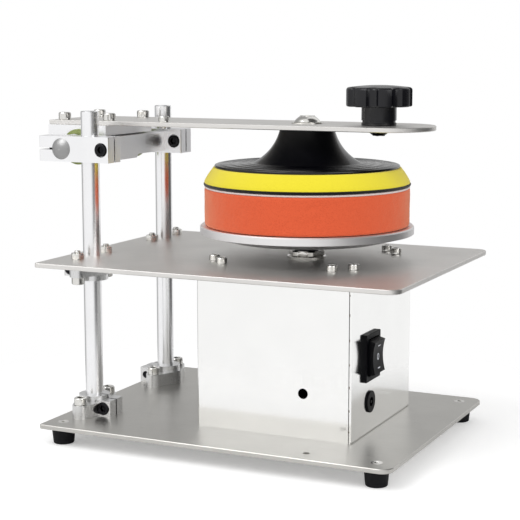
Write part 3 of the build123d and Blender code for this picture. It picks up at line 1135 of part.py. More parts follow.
NODES = {
    "base_plate": base_plate,
    "feet": feet,
    "foot_screws": foot_screws,
    "front_rod": front_rod,
    "rear_rod": rear_rod,
    "base_rod_supports": base_rod_supports,
    "support_clamp_screws": support_clamp_screws,
    "support_screws": support_screws,
    "support_nuts": support_nuts,
    "table_plate": table_plate,
    "table_rod_supports": table_rod_supports,
    "housing_front_shell": housing_front_shell,
    "housing_rear_shell": housing_rear_shell,
    "housing_screws": housing_screws,
    "housing_nuts": housing_nuts,
    "switch_body": switch_body,
    "switch_rocker": switch_rocker,
    "switch_terminals": switch_terminals,
    "dc_inlet": dc_inlet,
    "dc_inlet_nut": dc_inlet_nut,
    "wire_supply_minus": wire_supply_minus,
    "wire_supply_plus": wire_supply_plus,
    "wire_motor_minus": wire_motor_minus,
    "wire_motor_plus": wire_motor_plus,
    "motor_can": motor_can,
    "motor_lock_washer": motor_lock_washer,
    "motor_lock_nut": motor_lock_nut,
    "motor_end_cap": motor_end_cap,
    "motor_bearings": motor_bearings,
    "motor_magnets": motor_magnets,
    "motor_brushes": motor_brushes,
    "motor_terminals": motor_terminals,
    "motor_shaft": motor_shaft,
    "motor_armature": motor_armature,
    "motor_commutator": motor_commutator,
    "turntable_hub": turntable_hub,
    "hub_set_screw": hub_set_screw,
    "turntable": turntable,
    "turntable_screws": turntable_screws,
    "polishing_sponge": polishing_sponge,
    "loop_layer": loop_layer,
    "hook_layer": hook_layer,
    "pad_foam": pad_foam,
    "pad_backing": pad_backing,
    "pad_insert": pad_insert,
    "pad_washer": pad_washer,
    "pad_bolt": pad_bolt,
    "arm_plate": arm_plate,
    "arm_screws": arm_screws,
    "stop_screw": stop_screw,
    "star_knob": star_knob,
    "knob_insert": knob_insert,
    "knob_screw": knob_screw,
    "hinge_block": hinge_block,
    "pivot_bushes": pivot_bushes,
    "pivot_shaft": pivot_shaft,
    "pivot_spacers": pivot_spacers,
    "yoke": yoke,
    "yoke_clamp_screws": yoke_clamp_screws,
    "pivot_clamp_screws": pivot_clamp_screws,
}

os.makedirs("parts", exist_ok=True)
for label, piece in NODES.items():
    piece.part.label = label
    export_step(piece.part, f"parts/{label}.step")
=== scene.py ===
"""Looks of a disc repair machine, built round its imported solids.

Each sub-assembly is a class that holds its sizes in millimetres, makes its meshes and dresses
them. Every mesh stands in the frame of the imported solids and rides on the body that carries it.
"""

import logging
import math
from collections.abc import Callable, Sequence
from dataclasses import dataclass
from enum import Enum
from functools import cache

import bmesh
import bpy
from mathutils import Matrix, Vector, noise


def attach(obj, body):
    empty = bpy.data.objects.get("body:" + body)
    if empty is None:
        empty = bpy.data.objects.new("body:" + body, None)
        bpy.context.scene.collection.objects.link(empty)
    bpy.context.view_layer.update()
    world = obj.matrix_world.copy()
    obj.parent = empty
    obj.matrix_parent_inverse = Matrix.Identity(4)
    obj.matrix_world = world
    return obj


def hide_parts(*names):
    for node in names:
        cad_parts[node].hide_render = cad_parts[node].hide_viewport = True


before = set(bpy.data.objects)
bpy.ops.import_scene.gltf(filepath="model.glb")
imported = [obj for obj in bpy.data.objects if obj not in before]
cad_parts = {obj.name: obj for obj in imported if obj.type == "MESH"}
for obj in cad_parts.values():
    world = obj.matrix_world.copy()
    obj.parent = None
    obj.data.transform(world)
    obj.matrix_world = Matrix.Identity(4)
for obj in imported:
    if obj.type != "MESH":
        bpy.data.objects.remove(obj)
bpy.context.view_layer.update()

MM = 0.001

Colour = tuple[float, float, float]
Point = tuple[float, float, float]
Pair = tuple[float, float]
Outline = Callable[[float], float]
Radius = float | Outline
Profile = Sequence[tuple[Radius, float]]

log = logging.getLogger("disc_repair_machine")


class Body(Enum):
    """The bodies that pieces ride on."""

    STAND = "stand"
    CARRIAGE = "carriage"
    ARM = "arm"
    ROCKER = "rocker"


def linear(colour: Colour) -> tuple[float, float, float, float]:
    """Turns a display colour into the linear one that shaders take.

    Args:
        colour: Red, green and blue from 0 to 1 as they look on a screen.

    Returns:
        The linear colour with full alpha.
    """
    def channel(value: float) -> float:
        """Turns one channel linear."""
        return value / 12.92 if value <= 0.04045 else ((value + 0.055) / 1.055) ** 2.4

    return (*[channel(value) for value in colour], 1.0)


class Shader:
    """A material's node tree under construction."""

    def __init__(self, name: str) -> None:
        """Starts a material.

        Args:
            name: The material's name.
        """
        self.material = bpy.data.materials.new(name)
        self.material.use_nodes = True
        self.tree = self.material.node_tree
        self.surface = self.tree.nodes["Principled BSDF"]

    def set(self, **values: float | tuple) -> None:
        """Sets sockets of the surface, their names written with _ for a space.

        Args:
            values: The number or colour for each socket.
        """
        for name, value in values.items():
            self.surface.inputs[name.replace("_", " ")].default_value = value

    def node(self, kind: str, **settings: object) -> bpy.types.Node:
        """Adds a node.

        Args:
            kind: The node's type without its ShaderNode prefix.
            settings: Attributes to set on it.

        Returns:
            The new node.
        """
        made = self.tree.nodes.new("ShaderNode" + kind)
        for name, value in settings.items():
            setattr(made, name, value)
        return made

    def link(self, source: bpy.types.NodeSocket, target: bpy.types.NodeSocket) -> None:
        """Joins two sockets."""
        self.tree.links.new(source, target)

    def place(self, scale: Point = (1.0, 1.0, 1.0), shift: Point = (0.0, 0.0, 0.0)) -> bpy.types.NodeSocket:
        """Gives coordinates on the piece in millimetres.

        Args:
            scale: Factors along X, Y and Z.
            shift: Place of the pattern's origin in millimetres.

        Returns:
            The vector socket.
        """
        source = self.node("TexCoord").outputs["Object"]
        millimetres = self.node("Mapping", vector_type="POINT")
        millimetres.inputs["Scale"].default_value = (1000.0, 1000.0, 1000.0)
        millimetres.inputs["Location"].default_value = tuple(-value for value in shift)
        self.link(source, millimetres.inputs["Vector"])
        stretched = self.node("Mapping", vector_type="TEXTURE")
        stretched.inputs["Scale"].default_value = tuple(1.0 / value for value in scale)
        self.link(millimetres.outputs["Vector"], stretched.inputs["Vector"])
        return stretched.outputs["Vector"]

    def noise(self, where: bpy.types.NodeSocket, scale: float, detail: float = 3.0,
              roughness: float = 0.55) -> bpy.types.NodeSocket:
        """Adds a noise pattern.

        Args:
            where: Coordinates in millimetres.
            scale: Features per millimetre.
            detail: Number of finer layers.
            roughness: Strength of the finer layers.

        Returns:
            The pattern's value from 0 to 1.
        """
        made = self.node("TexNoise")
        made.inputs["Scale"].default_value = scale
        made.inputs["Detail"].default_value = detail
        made.inputs["Roughness"].default_value = roughness
        self.link(where, made.inputs["Vector"])
        return made.outputs["Fac"]

    def cells(self, where: bpy.types.NodeSocket, scale: float) -> bpy.types.NodeSocket:
        """Adds a pattern of cells and gives the distance inside each.

        Args:
            where: Coordinates in millimetres.
            scale: Cells per millimetre.

        Returns:
            The distance.
        """
        made = self.node("TexVoronoi")
        made.inputs["Scale"].default_value = scale
        self.link(where, made.inputs["Vector"])
        return made.outputs["Distance"]

    def spread(self, value: bpy.types.NodeSocket, low: float, high: float,
               start: float = 0.0, end: float = 1.0) -> bpy.types.NodeSocket:
        """Maps a value onto a range.

        Args:
            value: The value to map.
            low: Result at start.
            high: Result at end.
            start: Value that gives low.
            end: Value that gives high.

        Returns:
            The mapped value.
        """
        made = self.node("MapRange")
        for name, number in (("From Min", start), ("From Max", end), ("To Min", low), ("To Max", high)):
            made.inputs[name].default_value = number
        self.link(value, made.inputs["Value"])
        return made.outputs["Result"]

    def mix(self, factor: bpy.types.NodeSocket, first: Colour, second: Colour) -> bpy.types.NodeSocket:
        """Mixes two display colours.

        Args:
            factor: Share of the second colour.
            first: Colour at 0.
            second: Colour at 1.

        Returns:
            The mixed colour.
        """
        made = self.node("Mix", data_type="RGBA")
        self.link(factor, made.inputs[0])
        made.inputs[6].default_value = linear(first)
        made.inputs[7].default_value = linear(second)
        return made.outputs[2]

    def bump(self, height: bpy.types.NodeSocket, strength: float, depth: float,
             under: bpy.types.NodeSocket | None = None) -> bpy.types.NodeSocket:
        """Turns a height pattern into relief.

        Args:
            height: The pattern.
            strength: How much of the relief shows.
            depth: Height of the relief in millimetres.
            under: Relief that this one lies on.

        Returns:
            The normal.
        """
        made = self.node("Bump")
        made.inputs["Strength"].default_value = strength
        made.inputs["Distance"].default_value = depth * MM
        self.link(height, made.inputs["Height"])
        if under is not None:
            self.link(under, made.inputs["Normal"])
        return made.outputs["Normal"]

    def wear(self, **sockets: bpy.types.NodeSocket) -> None:
        """Joins patterns to the surface's sockets, their names written with _ for a space."""
        for name, source in sockets.items():
            self.link(source, self.surface.inputs[name.replace("_", " ")])


class Grain(Enum):
    """Direction that a metal's brush marks run in, as scales across the marks."""

    ALONG_X = (0.012, 1.0, 1.0)
    ALONG_Z = (1.0, 1.0, 0.012)
    NONE = (1.0, 1.0, 1.0)


@dataclass(frozen=True)
class Metal:
    """Bare metal with brush marks, faint cloudiness and small scratches.

    Attributes:
        name: The material's name.
        colour: Display colour.
        roughness: Roughness between the marks.
        grain: Direction of the marks.
        marks: Marks per millimetre across them.
        relief: How much the marks show as relief.
        contrast: How much the marks change the roughness.
        shade: How much the colour varies from place to place.
    """

    name: str
    colour: Colour
    roughness: float
    grain: Grain = Grain.NONE
    marks: float = 3.0
    relief: float = 0.25
    contrast: float = 0.08
    shade: float = 0.04

    def build(self) -> bpy.types.Material:
        """Makes the material.

        Returns:
            The new material.
        """
        shader = Shader(self.name)
        shader.set(Metallic=1.0)
        strokes = shader.noise(shader.place(self.grain.value), self.marks, 5.0, 0.7)
        clouds = shader.noise(shader.place(), 0.035, 3.0, 0.5)
        low = tuple(value * (1.0 - self.shade) for value in self.colour)
        high = tuple(min(1.0, value * (1.0 + self.shade)) for value in self.colour)
        shader.wear(
            Base_Color=shader.mix(clouds, low, high),
            Roughness=shader.spread(
                strokes, self.roughness - self.contrast, self.roughness + self.contrast, 0.3, 0.7),
            Normal=shader.bump(strokes, self.relief, 0.01),
        )
        return shader.material


@dataclass(frozen=True)
class TurnedMetal:
    """Metal turned on a lathe, with fine rings about an upright axis.

    Attributes:
        name: The material's name.
        colour: Display colour.
        roughness: Roughness between the rings.
        centre: The axis's place in millimetres.
    """

    name: str
    colour: Colour
    roughness: float
    centre: Point

    def build(self) -> bpy.types.Material:
        """Makes the material.

        Returns:
            The new material.
        """
        shader = Shader(self.name)
        shader.set(Metallic=1.0, Anisotropic=0.5)
        flat = shader.node("VectorMath", operation="MULTIPLY")
        flat.inputs[1].default_value = (1.0, 1.0, 0.0)
        shader.link(shader.place(shift=self.centre), flat.inputs[0])
        reach = shader.node("VectorMath", operation="LENGTH")
        shader.link(flat.outputs[0], reach.inputs[0])
        rings = shader.node("TexNoise", noise_dimensions="1D")
        rings.inputs["Scale"].default_value = 2.5
        rings.inputs["Detail"].default_value = 4.0
        shader.link(reach.outputs["Value"], rings.inputs["W"])
        tangent = shader.node("Tangent", direction_type="RADIAL", axis="Z")
        clouds = shader.noise(shader.place(), 0.05)
        shader.wear(
            Base_Color=shader.mix(clouds, tuple(value * 0.95 for value in self.colour), self.colour),
            Roughness=shader.spread(
                rings.outputs["Fac"], self.roughness - 0.05, self.roughness + 0.1, 0.3, 0.7),
            Normal=shader.bump(rings.outputs["Fac"], 0.25, 0.01),
            Tangent=tangent.outputs["Tangent"],
        )
        return shader.material


@dataclass(frozen=True)
class Moulded:
    """Moulded plastic, rubber or dull fired stock with a fine grain.

    Attributes:
        name: The material's name.
        colour: Display colour.
        roughness: Mean roughness.
        grain: Grains per millimetre.
        relief: How much the grain shows as relief.
        specular: Strength of the plain reflection.
    """

    name: str
    colour: Colour
    roughness: float
    grain: float = 4.0
    relief: float = 0.2
    specular: float = 0.5

    def build(self) -> bpy.types.Material:
        """Makes the material.

        Returns:
            The new material.
        """
        shader = Shader(self.name)
        shader.set(Specular_IOR_Level=self.specular)
        specks = shader.noise(shader.place(), self.grain, 3.0)
        clouds = shader.noise(shader.place(), 0.08, 4.0)
        darker = tuple(value * 0.88 for value in self.colour)
        lighter = tuple(min(1.0, value * 1.06 + 0.006) for value in self.colour)
        shader.wear(
            Base_Color=shader.mix(clouds, darker, lighter),
            Roughness=shader.spread(clouds, self.roughness - 0.06, self.roughness + 0.08, 0.3, 0.7),
            Normal=shader.bump(specks, self.relief, 0.05),
        )
        return shader.material


@dataclass(frozen=True)
class Foam:
    """Cut foam with pores.

    Attributes:
        name: The material's name.
        colour: Display colour of the walls.
        deep: Display colour inside the pores, a painted shade where the pores hide the light.
        pores: Pores per millimetre.
        depth: Depth of the pores in millimetres.
        openness: Share of the surface that is open.
        sheen: Display colour of the bloom that the cut walls show at a low angle.
    """

    name: str
    colour: Colour
    deep: Colour
    pores: float
    depth: float
    openness: float
    sheen: Colour = (1.0, 0.80, 0.55)

    def build(self) -> bpy.types.Material:
        """Makes the material.

        Returns:
            The new material.
        """
        shader = Shader(self.name)
        shader.set(Roughness=0.92, Specular_IOR_Level=0.2, Sheen_Weight=0.6, Sheen_Roughness=0.5,
                   Sheen_Tint=(*self.sheen, 1.0))
        where = shader.place()
        pores = shader.cells(where, self.pores)
        finer = shader.cells(where, self.pores * 2.3)
        clouds = shader.noise(where, 0.06, 3.0)
        open_share = shader.spread(pores, 1.0, 0.0, 0.0, self.openness)
        soft = shader.node("Math", operation="MULTIPLY")
        shader.link(open_share, soft.inputs[0])
        shader.link(shader.spread(clouds, 0.35, 0.75, 0.3, 0.7), soft.inputs[1])
        relief = shader.bump(pores, 0.5, self.depth)
        # The pores take the deeper colour as painted shade inside them, stronger or weaker at random.
        shader.wear(
            Base_Color=shader.mix(soft.outputs[0], self.colour, self.deep),
            Normal=shader.bump(finer, 0.3, self.depth * 0.4, relief),
        )
        return shader.material


@dataclass(frozen=True)
class Pile:
    """Short fibres on a backing, as on hook and loop fastener.

    Attributes:
        name: The material's name.
        colour: Display colour of the fibre tips.
        deep: Display colour between the fibres, a painted shade where the fibres hide the light.
        fibres: Fibres per millimetre.
    """

    name: str
    colour: Colour
    deep: Colour
    fibres: float

    def build(self) -> bpy.types.Material:
        """Makes the material.

        Returns:
            The new material.
        """
        shader = Shader(self.name)
        shader.set(Roughness=0.95, Specular_IOR_Level=0.15, Sheen_Weight=0.3, Sheen_Roughness=0.5)
        where = shader.place()
        tufts = shader.cells(where, self.fibres)
        strands = shader.noise(where, self.fibres * 1.7, 4.0, 0.7)
        # The gaps between the tufts take the deeper colour as painted shade.
        shader.wear(
            Base_Color=shader.mix(shader.spread(tufts, 0.0, 1.0, 0.0, 0.8), self.colour, self.deep),
            Normal=shader.bump(strands, 0.7, 0.3, shader.bump(tufts, 0.5, 0.25)),
        )
        return shader.material


AXIS = (40.4, 3.5)


class Finish(Enum):
    """Every finish on the machine, with the record's slot that it belongs to."""

    PLATE = ("plate_steel", Metal("brushed_plate", (0.86, 0.852, 0.84), 0.43, Grain.ALONG_X, 2.5, 0.3))
    BASE = ("plate_steel", Metal("brushed_base", (0.765, 0.758, 0.74), 0.34, Grain.ALONG_X, 2.5, 0.3))
    BOX = ("box_steel",
           Metal("bright_box_sheet", (0.972, 0.972, 0.967), 0.14, Grain.ALONG_Z, 2.0, 0.08, 0.04, 0.015))
    ROD = ("rod_chrome",
           Metal("polished_rod", (0.955, 0.955, 0.96), 0.25, Grain.ALONG_Z, 1.2, 0.05, 0.02, 0.02))
    TACK = ("box_steel", Metal("heat_tinted_weld", (0.40, 0.37, 0.34), 0.42, Grain.NONE, 3.0, 0.3, 0.08))
    SUPPORT = ("support_alloy",
               Metal("machined_support", (0.86, 0.86, 0.86), 0.30, Grain.NONE, 1.5, 0.35, 0.08))
    BLOCK = ("block_alloy",
             Metal("satin_block", (0.955, 0.955, 0.96), 0.33, Grain.NONE, 4.0, 0.25, 0.05, 0.02))
    SCREW = ("screw_steel", Metal("bright_screw", (0.88, 0.875, 0.86), 0.16, Grain.NONE, 2.0, 0.15, 0.06))
    BLACK_SCREW = ("black_screw",
                   Metal("blackened_screw", (0.16, 0.16, 0.17), 0.34, Grain.NONE, 3.0, 0.3, 0.08))
    SPACER = ("spacer_steel", Metal("turned_spacer", (0.78, 0.78, 0.79), 0.25, Grain.NONE, 2.0, 0.2))
    SHAFT = ("rod_chrome", Metal("ground_shaft", (0.62, 0.62, 0.62), 0.40, Grain.NONE, 3.0, 0.15, 0.04))
    MOTOR = ("motor_steel", Metal("motor_shell", (0.74, 0.745, 0.76), 0.35, Grain.ALONG_Z, 2.0, 0.2))
    CORE = ("core_steel", Metal("stacked_core", (0.62, 0.62, 0.64), 0.45, Grain.ALONG_X, 4.0, 0.6))
    BRASS = ("brass", Metal("turned_brass", (0.86, 0.74, 0.46), 0.28, Grain.NONE, 2.0, 0.2))
    TURNTABLE = ("turntable_alloy", TurnedMetal("turned_turntable", (0.935, 0.93, 0.93), 0.42, (*AXIS, 0.0)))
    HUB = ("hub_dark", TurnedMetal("darkened_hub", (0.40, 0.40, 0.42), 0.30, (*AXIS, 0.0)))
    BUSH = ("bush_polymer", Moulded("olive_bush", (0.60, 0.65, 0.38), 0.45, 3.0, 0.2))
    RUBBER = ("foot_rubber", Moulded("matt_rubber", (0.075, 0.075, 0.085), 0.62, 3.0, 0.5, specular=0.15))
    SWITCH = ("switch_plastic",
              Moulded("grained_switch", (0.03, 0.032, 0.045), 0.38, 6.0, 0.25, specular=0.08))
    MARK = ("switch_plastic", Moulded("white_mark", (0.86, 0.87, 0.90), 0.5, 5.0, 0.1))
    KNOB = ("knob_plastic", Moulded("smooth_knob", (0.035, 0.035, 0.06), 0.24, 2.0, 0.12, specular=0.4))
    BACKING = ("backing_plastic",
               Moulded("ringed_backing", (0.02, 0.02, 0.035), 0.17, 1.6, 0.12, specular=0.4))
    # The second colour of the sponge and of the yellow foam is painted shade inside their pores.
    SPONGE = ("sponge_orange",
              Foam("orange_sponge", (0.92, 0.385, 0.235), (0.80, 0.25, 0.13), 1.1, 0.35, 0.45))
    YELLOW = ("foam_yellow", Foam("yellow_foam", (0.945, 0.885, 0.20), (0.80, 0.70, 0.10), 1.8, 0.12, 0.3))
    # The second colour of the hooks and of the loops is painted shade between their fibres.
    HOOK = ("hook_black", Pile("black_hooks", (0.10, 0.095, 0.09), (0.03, 0.03, 0.03), 1.8))
    LOOP = ("loop_white", Pile("white_loops", (0.98, 0.94, 0.93), (0.93, 0.85, 0.83), 2.2))
    MAGNET = ("magnet_ferrite", Moulded("ferrite_magnet", (0.36, 0.36, 0.38), 0.6, 2.0, 0.4))
    CARBON = ("brush_carbon", Moulded("carbon_brush", (0.28, 0.28, 0.29), 0.6, 3.0, 0.4))
    CAP = ("cap_plastic", Moulded("motor_cap", (0.42, 0.42, 0.44), 0.5, 4.0, 0.3))
    RED_WIRE = ("wire_red", Moulded("red_insulation", (0.80, 0.20, 0.17), 0.4, 2.0, 0.1))
    BLACK_WIRE = ("wire_black", Moulded("black_insulation", (0.14, 0.14, 0.15), 0.4, 2.0, 0.1))

    @cache
    def material(self) -> bpy.types.Material:
        """Gives the material, made once."""
        return self.value[1].build()

    @property
    def slot(self) -> str:
        """The record's material slot."""
        return self.value[0]


def circle(radius: float) -> Outline:
    """Gives the outline of a circle as radius by angle."""
    return lambda angle: radius


def polygon(across: float, sides: int, turn: float = 0.0) -> Outline:
    """Gives the outline of a regular polygon as radius by angle.

    Args:
        across: Distance from the centre to a side.
        sides: Number of sides.
        turn: Turn of the outline in degrees.

    Returns:
        The radius at each angle in radians.
    """
    step = 2 * math.pi / sides

    def outline(angle: float) -> float:
        """Gives the radius at an angle."""
        away = (angle - math.radians(turn)) % step - step / 2
        return across / math.cos(away)

    return outline


def inset(outline: Radius, depth: float) -> Outline:
    """Gives an outline made smaller by a depth."""
    shape = outline if callable(outline) else circle(outline)
    return lambda angle: shape(angle) - depth


def within(outline: Radius, limit: float) -> Outline:
    """Gives an outline cut off by a circle of the limit's radius."""
    shape = outline if callable(outline) else circle(outline)
    return lambda angle: min(shape(angle), limit)


def placed(name: str, data: bpy.types.ID) -> bpy.types.Object:
    """Adds an object to the scene.

    Args:
        name: The object's name.
        data: Its mesh, curve, lamp or camera.

    Returns:
        The new object.
    """
    made = bpy.data.objects.new(name, data)
    bpy.context.scene.collection.objects.link(made)
    return made


class Shape:
    """A mesh under construction, in millimetres."""

    def __init__(self) -> None:
        """Starts with nothing."""
        self.mesh = bmesh.new()

    def lathe(self, profile: Profile, segments: int = 72,
              closed: bool = False) -> "Shape":
        """Adds rings about the Z axis, joined into a closed skin.

        Args:
            profile: Radius and height of each ring, where a radius may depend on the angle.
            segments: Points in each ring.
            closed: Whether the last ring joins the first, as for a part with a bore.

        Returns:
            This shape.
        """
        rings: list[list[bmesh.types.BMVert]] = []
        for radius, height in profile:
            if radius == 0:
                rings.append([self.mesh.verts.new((0.0, 0.0, height))])
                continue
            ring = []
            for index in range(segments):
                angle = 2 * math.pi * index / segments
                reach = radius(angle) if callable(radius) else radius
                ring.append(self.mesh.verts.new((reach * math.cos(angle), reach * math.sin(angle), height)))
            rings.append(ring)
        pairs = list(zip(rings, rings[1:]))
        if closed:
            pairs.append((rings[-1], rings[0]))
        for low, high in pairs:
            for index in range(segments):
                after = (index + 1) % segments
                if len(low) == 1:
                    self.mesh.faces.new((low[0], high[after], high[index]))
                elif len(high) == 1:
                    self.mesh.faces.new((low[index], low[after], high[0]))
                else:
                    self.mesh.faces.new((low[index], low[after], high[after], high[index]))
        return self

    def thread(self, radius: float, pitch: float, low: float, high: float, segments: int = 24) -> "Shape":
        """Adds a screw thread's ridge round the Z axis.

        Args:
            radius: Radius of the crest.
            pitch: Rise of one turn.
            low: Lowest height.
            high: Highest height.
            segments: Points in each turn.

        Returns:
            This shape.
        """
        depth = pitch * 0.55
        half = pitch * 0.42
        turns = max(1, int((high - low - 2 * half) / pitch * segments))
        sections = []
        for index in range(turns + 1):
            angle = 2 * math.pi * index / segments
            middle = low + half + pitch * index / segments
            fade = min(1.0, index / (segments / 3), (turns - index) / (segments / 3))
            root = radius - depth
            crest = root + depth * max(fade, 0.05)
            ridge = ((root - 0.05, middle - half), (crest, middle), (root - 0.05, middle + half))
            sections.append([
                self.mesh.verts.new((reach * math.cos(angle), reach * math.sin(angle), height))
                for reach, height in ridge
            ])
        for before, after in zip(sections, sections[1:]):
            for index in range(3):
                follow = (index + 1) % 3
                self.mesh.faces.new((before[index], after[index], after[follow], before[follow]))
        self.mesh.faces.new(sections[0])
        self.mesh.faces.new(list(reversed(sections[-1])))
        return self

    def stamped(self, frames: Sequence[Matrix]) -> "Shape":
        """Gives a new shape with a copy of this one at each frame.

        Args:
            frames: Where each copy stands.

        Returns:
            The new shape.
        """
        result = Shape()
        held = bpy.data.meshes.new("held")
        self.mesh.to_mesh(held)
        for matrix in frames:
            start = len(result.mesh.verts)
            result.mesh.from_mesh(held)
            result.mesh.verts.ensure_lookup_table()
            fresh = result.mesh.verts[start:]
            bmesh.ops.transform(result.mesh, matrix=matrix, verts=fresh)
        bpy.data.meshes.remove(held)
        return result

    @staticmethod
    def joined(first: "Shape", second: "Shape") -> "Shape":
        """Adds a second shape to the first one.

        Args:
            first: The shape that grows.
            second: The shape that is added.

        Returns:
            The first shape.
        """
        held = bpy.data.meshes.new("held")
        second.mesh.to_mesh(held)
        first.mesh.from_mesh(held)
        bpy.data.meshes.remove(held)
        return first

    def piece(self, name: str, finish: Finish, body: Body, replaces: Sequence[str] = (),
              crease: float = 32.0) -> bpy.types.Object:
        """Turns the shape into a piece of the machine.

        Args:
            name: The piece's name.
            finish: What it is finished in.
            body: What it rides on.
            replaces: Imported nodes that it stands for.
            crease: Angle in degrees above which an edge stays sharp.

        Returns:
            The new object.
        """
        bmesh.ops.recalc_face_normals(self.mesh, faces=self.mesh.faces)
        bmesh.ops.scale(self.mesh, vec=(MM, MM, MM), verts=self.mesh.verts)
        data = bpy.data.meshes.new(name)
        self.mesh.to_mesh(data)
        self.mesh.free()
        data.materials.append(finish.material())
        data.polygons.foreach_set("use_smooth", [True] * len(data.polygons))
        data.set_sharp_from_angle(angle=math.radians(crease))
        made = placed(name, data)
        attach(made, body.value)
        if replaces:
            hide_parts(*replaces)
        log.info("%s: %d faces, rides on %s", name, len(data.polygons), body.value)
        return made


def dress(finish: Finish, *nodes: str) -> None:
    """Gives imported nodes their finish.

    Args:
        finish: The finish.
        nodes: The nodes' names.
    """
    for name in nodes:
        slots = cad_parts[name].material_slots
        for slot in slots:
            slot.material = finish.material()
        log.info("%s: dressed in %s", name, finish.name.lower())


def upright(x: float, y: float, z: float) -> Matrix:
    """Gives a frame at a place, its Z axis up."""
    return Matrix.Translation((x, y, z))


def facing(x: float, y: float, z: float, way: Point) -> Matrix:
    """Gives a frame at a place, its Z axis along a way."""
    return Matrix.Translation((x, y, z)) @ Vector(way).to_track_quat("Z", "Y").to_matrix().to_4x4()


def turned(degrees: float) -> Matrix:
    """Gives a turn about the Z axis."""
    return Matrix.Rotation(math.radians(degrees), 4, "Z")


def arc_through(first: Pair, middle: Pair, last: Pair, steps: int) -> list[Pair]:
    """Gives points on the arc through three points of a profile.

    Args:
        first: Radius and height where the arc starts.
        middle: Radius and height of a point on its way.
        last: Radius and height where it ends.
        steps: Number of stretches between the points.

    Returns:
        The points from the first to the last.
    """
    (ax, ay), (bx, by), (cx, cy) = first, middle, last
    twice = 2 * (ax * (by - cy) + bx * (cy - ay) + cx * (ay - by))
    squares = [x * x + y * y for x, y in (first, middle, last)]
    ux = (squares[0] * (by - cy) + squares[1] * (cy - ay) + squares[2] * (ay - by)) / twice
    uy = (squares[0] * (cx - bx) + squares[1] * (ax - cx) + squares[2] * (bx - ax)) / twice
    radius = math.hypot(ax - ux, ay - uy)
    angles = [math.atan2(y - uy, x - ux) for x, y in (first, middle, last)]
    full = 2 * math.pi
    swing = (angles[2] - angles[0]) % full
    if (angles[1] - angles[0]) % full > swing:
        swing -= full
    turns = [angles[0] + swing * index / steps for index in range(steps + 1)]
    return [(ux + radius * math.cos(turn), uy + radius * math.sin(turn)) for turn in turns]


@dataclass(frozen=True)
class CapScrew:
    """Socket cap screw with a knurled head.

    Attributes:
        thread: Radius of the thread.
        pitch: Rise of one turn of the thread.
        head: Radius of the head.
        height: Height of the head.
        socket: Half the width of the hex socket.
        length: Length below the head.
    """

    thread: float
    pitch: float
    head: float
    height: float
    socket: float
    length: float

    KNURLS = 30
    KNURL_DEPTH = 0.16

    def shape(self) -> Shape:
        """Makes the screw on Z=0, its head up and its thread down.

        Returns:
            The screw.
        """
        def knurled(angle: float) -> float:
            """Gives the head's radius at an angle."""
            wave = abs((angle * self.KNURLS / (2 * math.pi)) % 1.0 - 0.5) * 2
            return self.head - self.KNURL_DEPTH * wave

        edge = self.height * 0.13
        hexagon = polygon(self.socket, 6)
        depth = self.height * 0.55
        core = self.thread - self.pitch * 0.5
        head = [
            (self.head - 0.35, 0.0),
            (self.head - 0.05, 0.3),
            (knurled, 0.45),
            (knurled, self.height - edge - 0.15),
            (self.head - 0.05, self.height - edge),
            (self.head - edge * 0.45, self.height - edge * 0.3),
            (self.head - edge, self.height),
            (inset(hexagon, -0.22), self.height),
            (hexagon, self.height - 0.22),
            (hexagon, self.height - depth),
            (0, self.height - depth - self.socket * 0.35),
        ]
        shank = [(0, -self.length), (core - 0.35, -self.length), (core, -self.length + 0.4), (core, -0.3)]
        made = Shape().lathe(shank + head, 60)
        return made.thread(self.thread, self.pitch, -self.length + 0.2, -0.25)


M4 = {"thread": 2.0, "pitch": 0.7, "head": 3.5, "height": 4.0, "socket": 1.55}
M5 = {"thread": 2.5, "pitch": 0.8, "head": 4.25, "height": 5.0, "socket": 2.05}


@dataclass(frozen=True)
class HexNut:
    """Hex nut with chamfered corners.

    Attributes:
        flat: Half the width across flats.
        height: Height of the nut.
        bore: Radius of the bore.
    """

    flat: float
    height: float
    bore: float

    def shape(self) -> Shape:
        """Makes the nut on Z=0.

        Returns:
            The nut.
        """
        hexagon = polygon(self.flat, 6)
        corner = self.flat * 1.12
        slope = (corner - self.flat) * 0.55
        edge = within(hexagon, self.flat * 0.99)
        side = within(hexagon, corner)
        profile = [
            (self.bore + 0.35, 0.0), (edge, 0.0), (side, slope), (side, self.height - slope),
            (edge, self.height), (self.bore + 0.35, self.height), (self.bore, self.height - 0.35),
            (self.bore, 0.35),
        ]
        return Shape().lathe(profile, 72, closed=True)


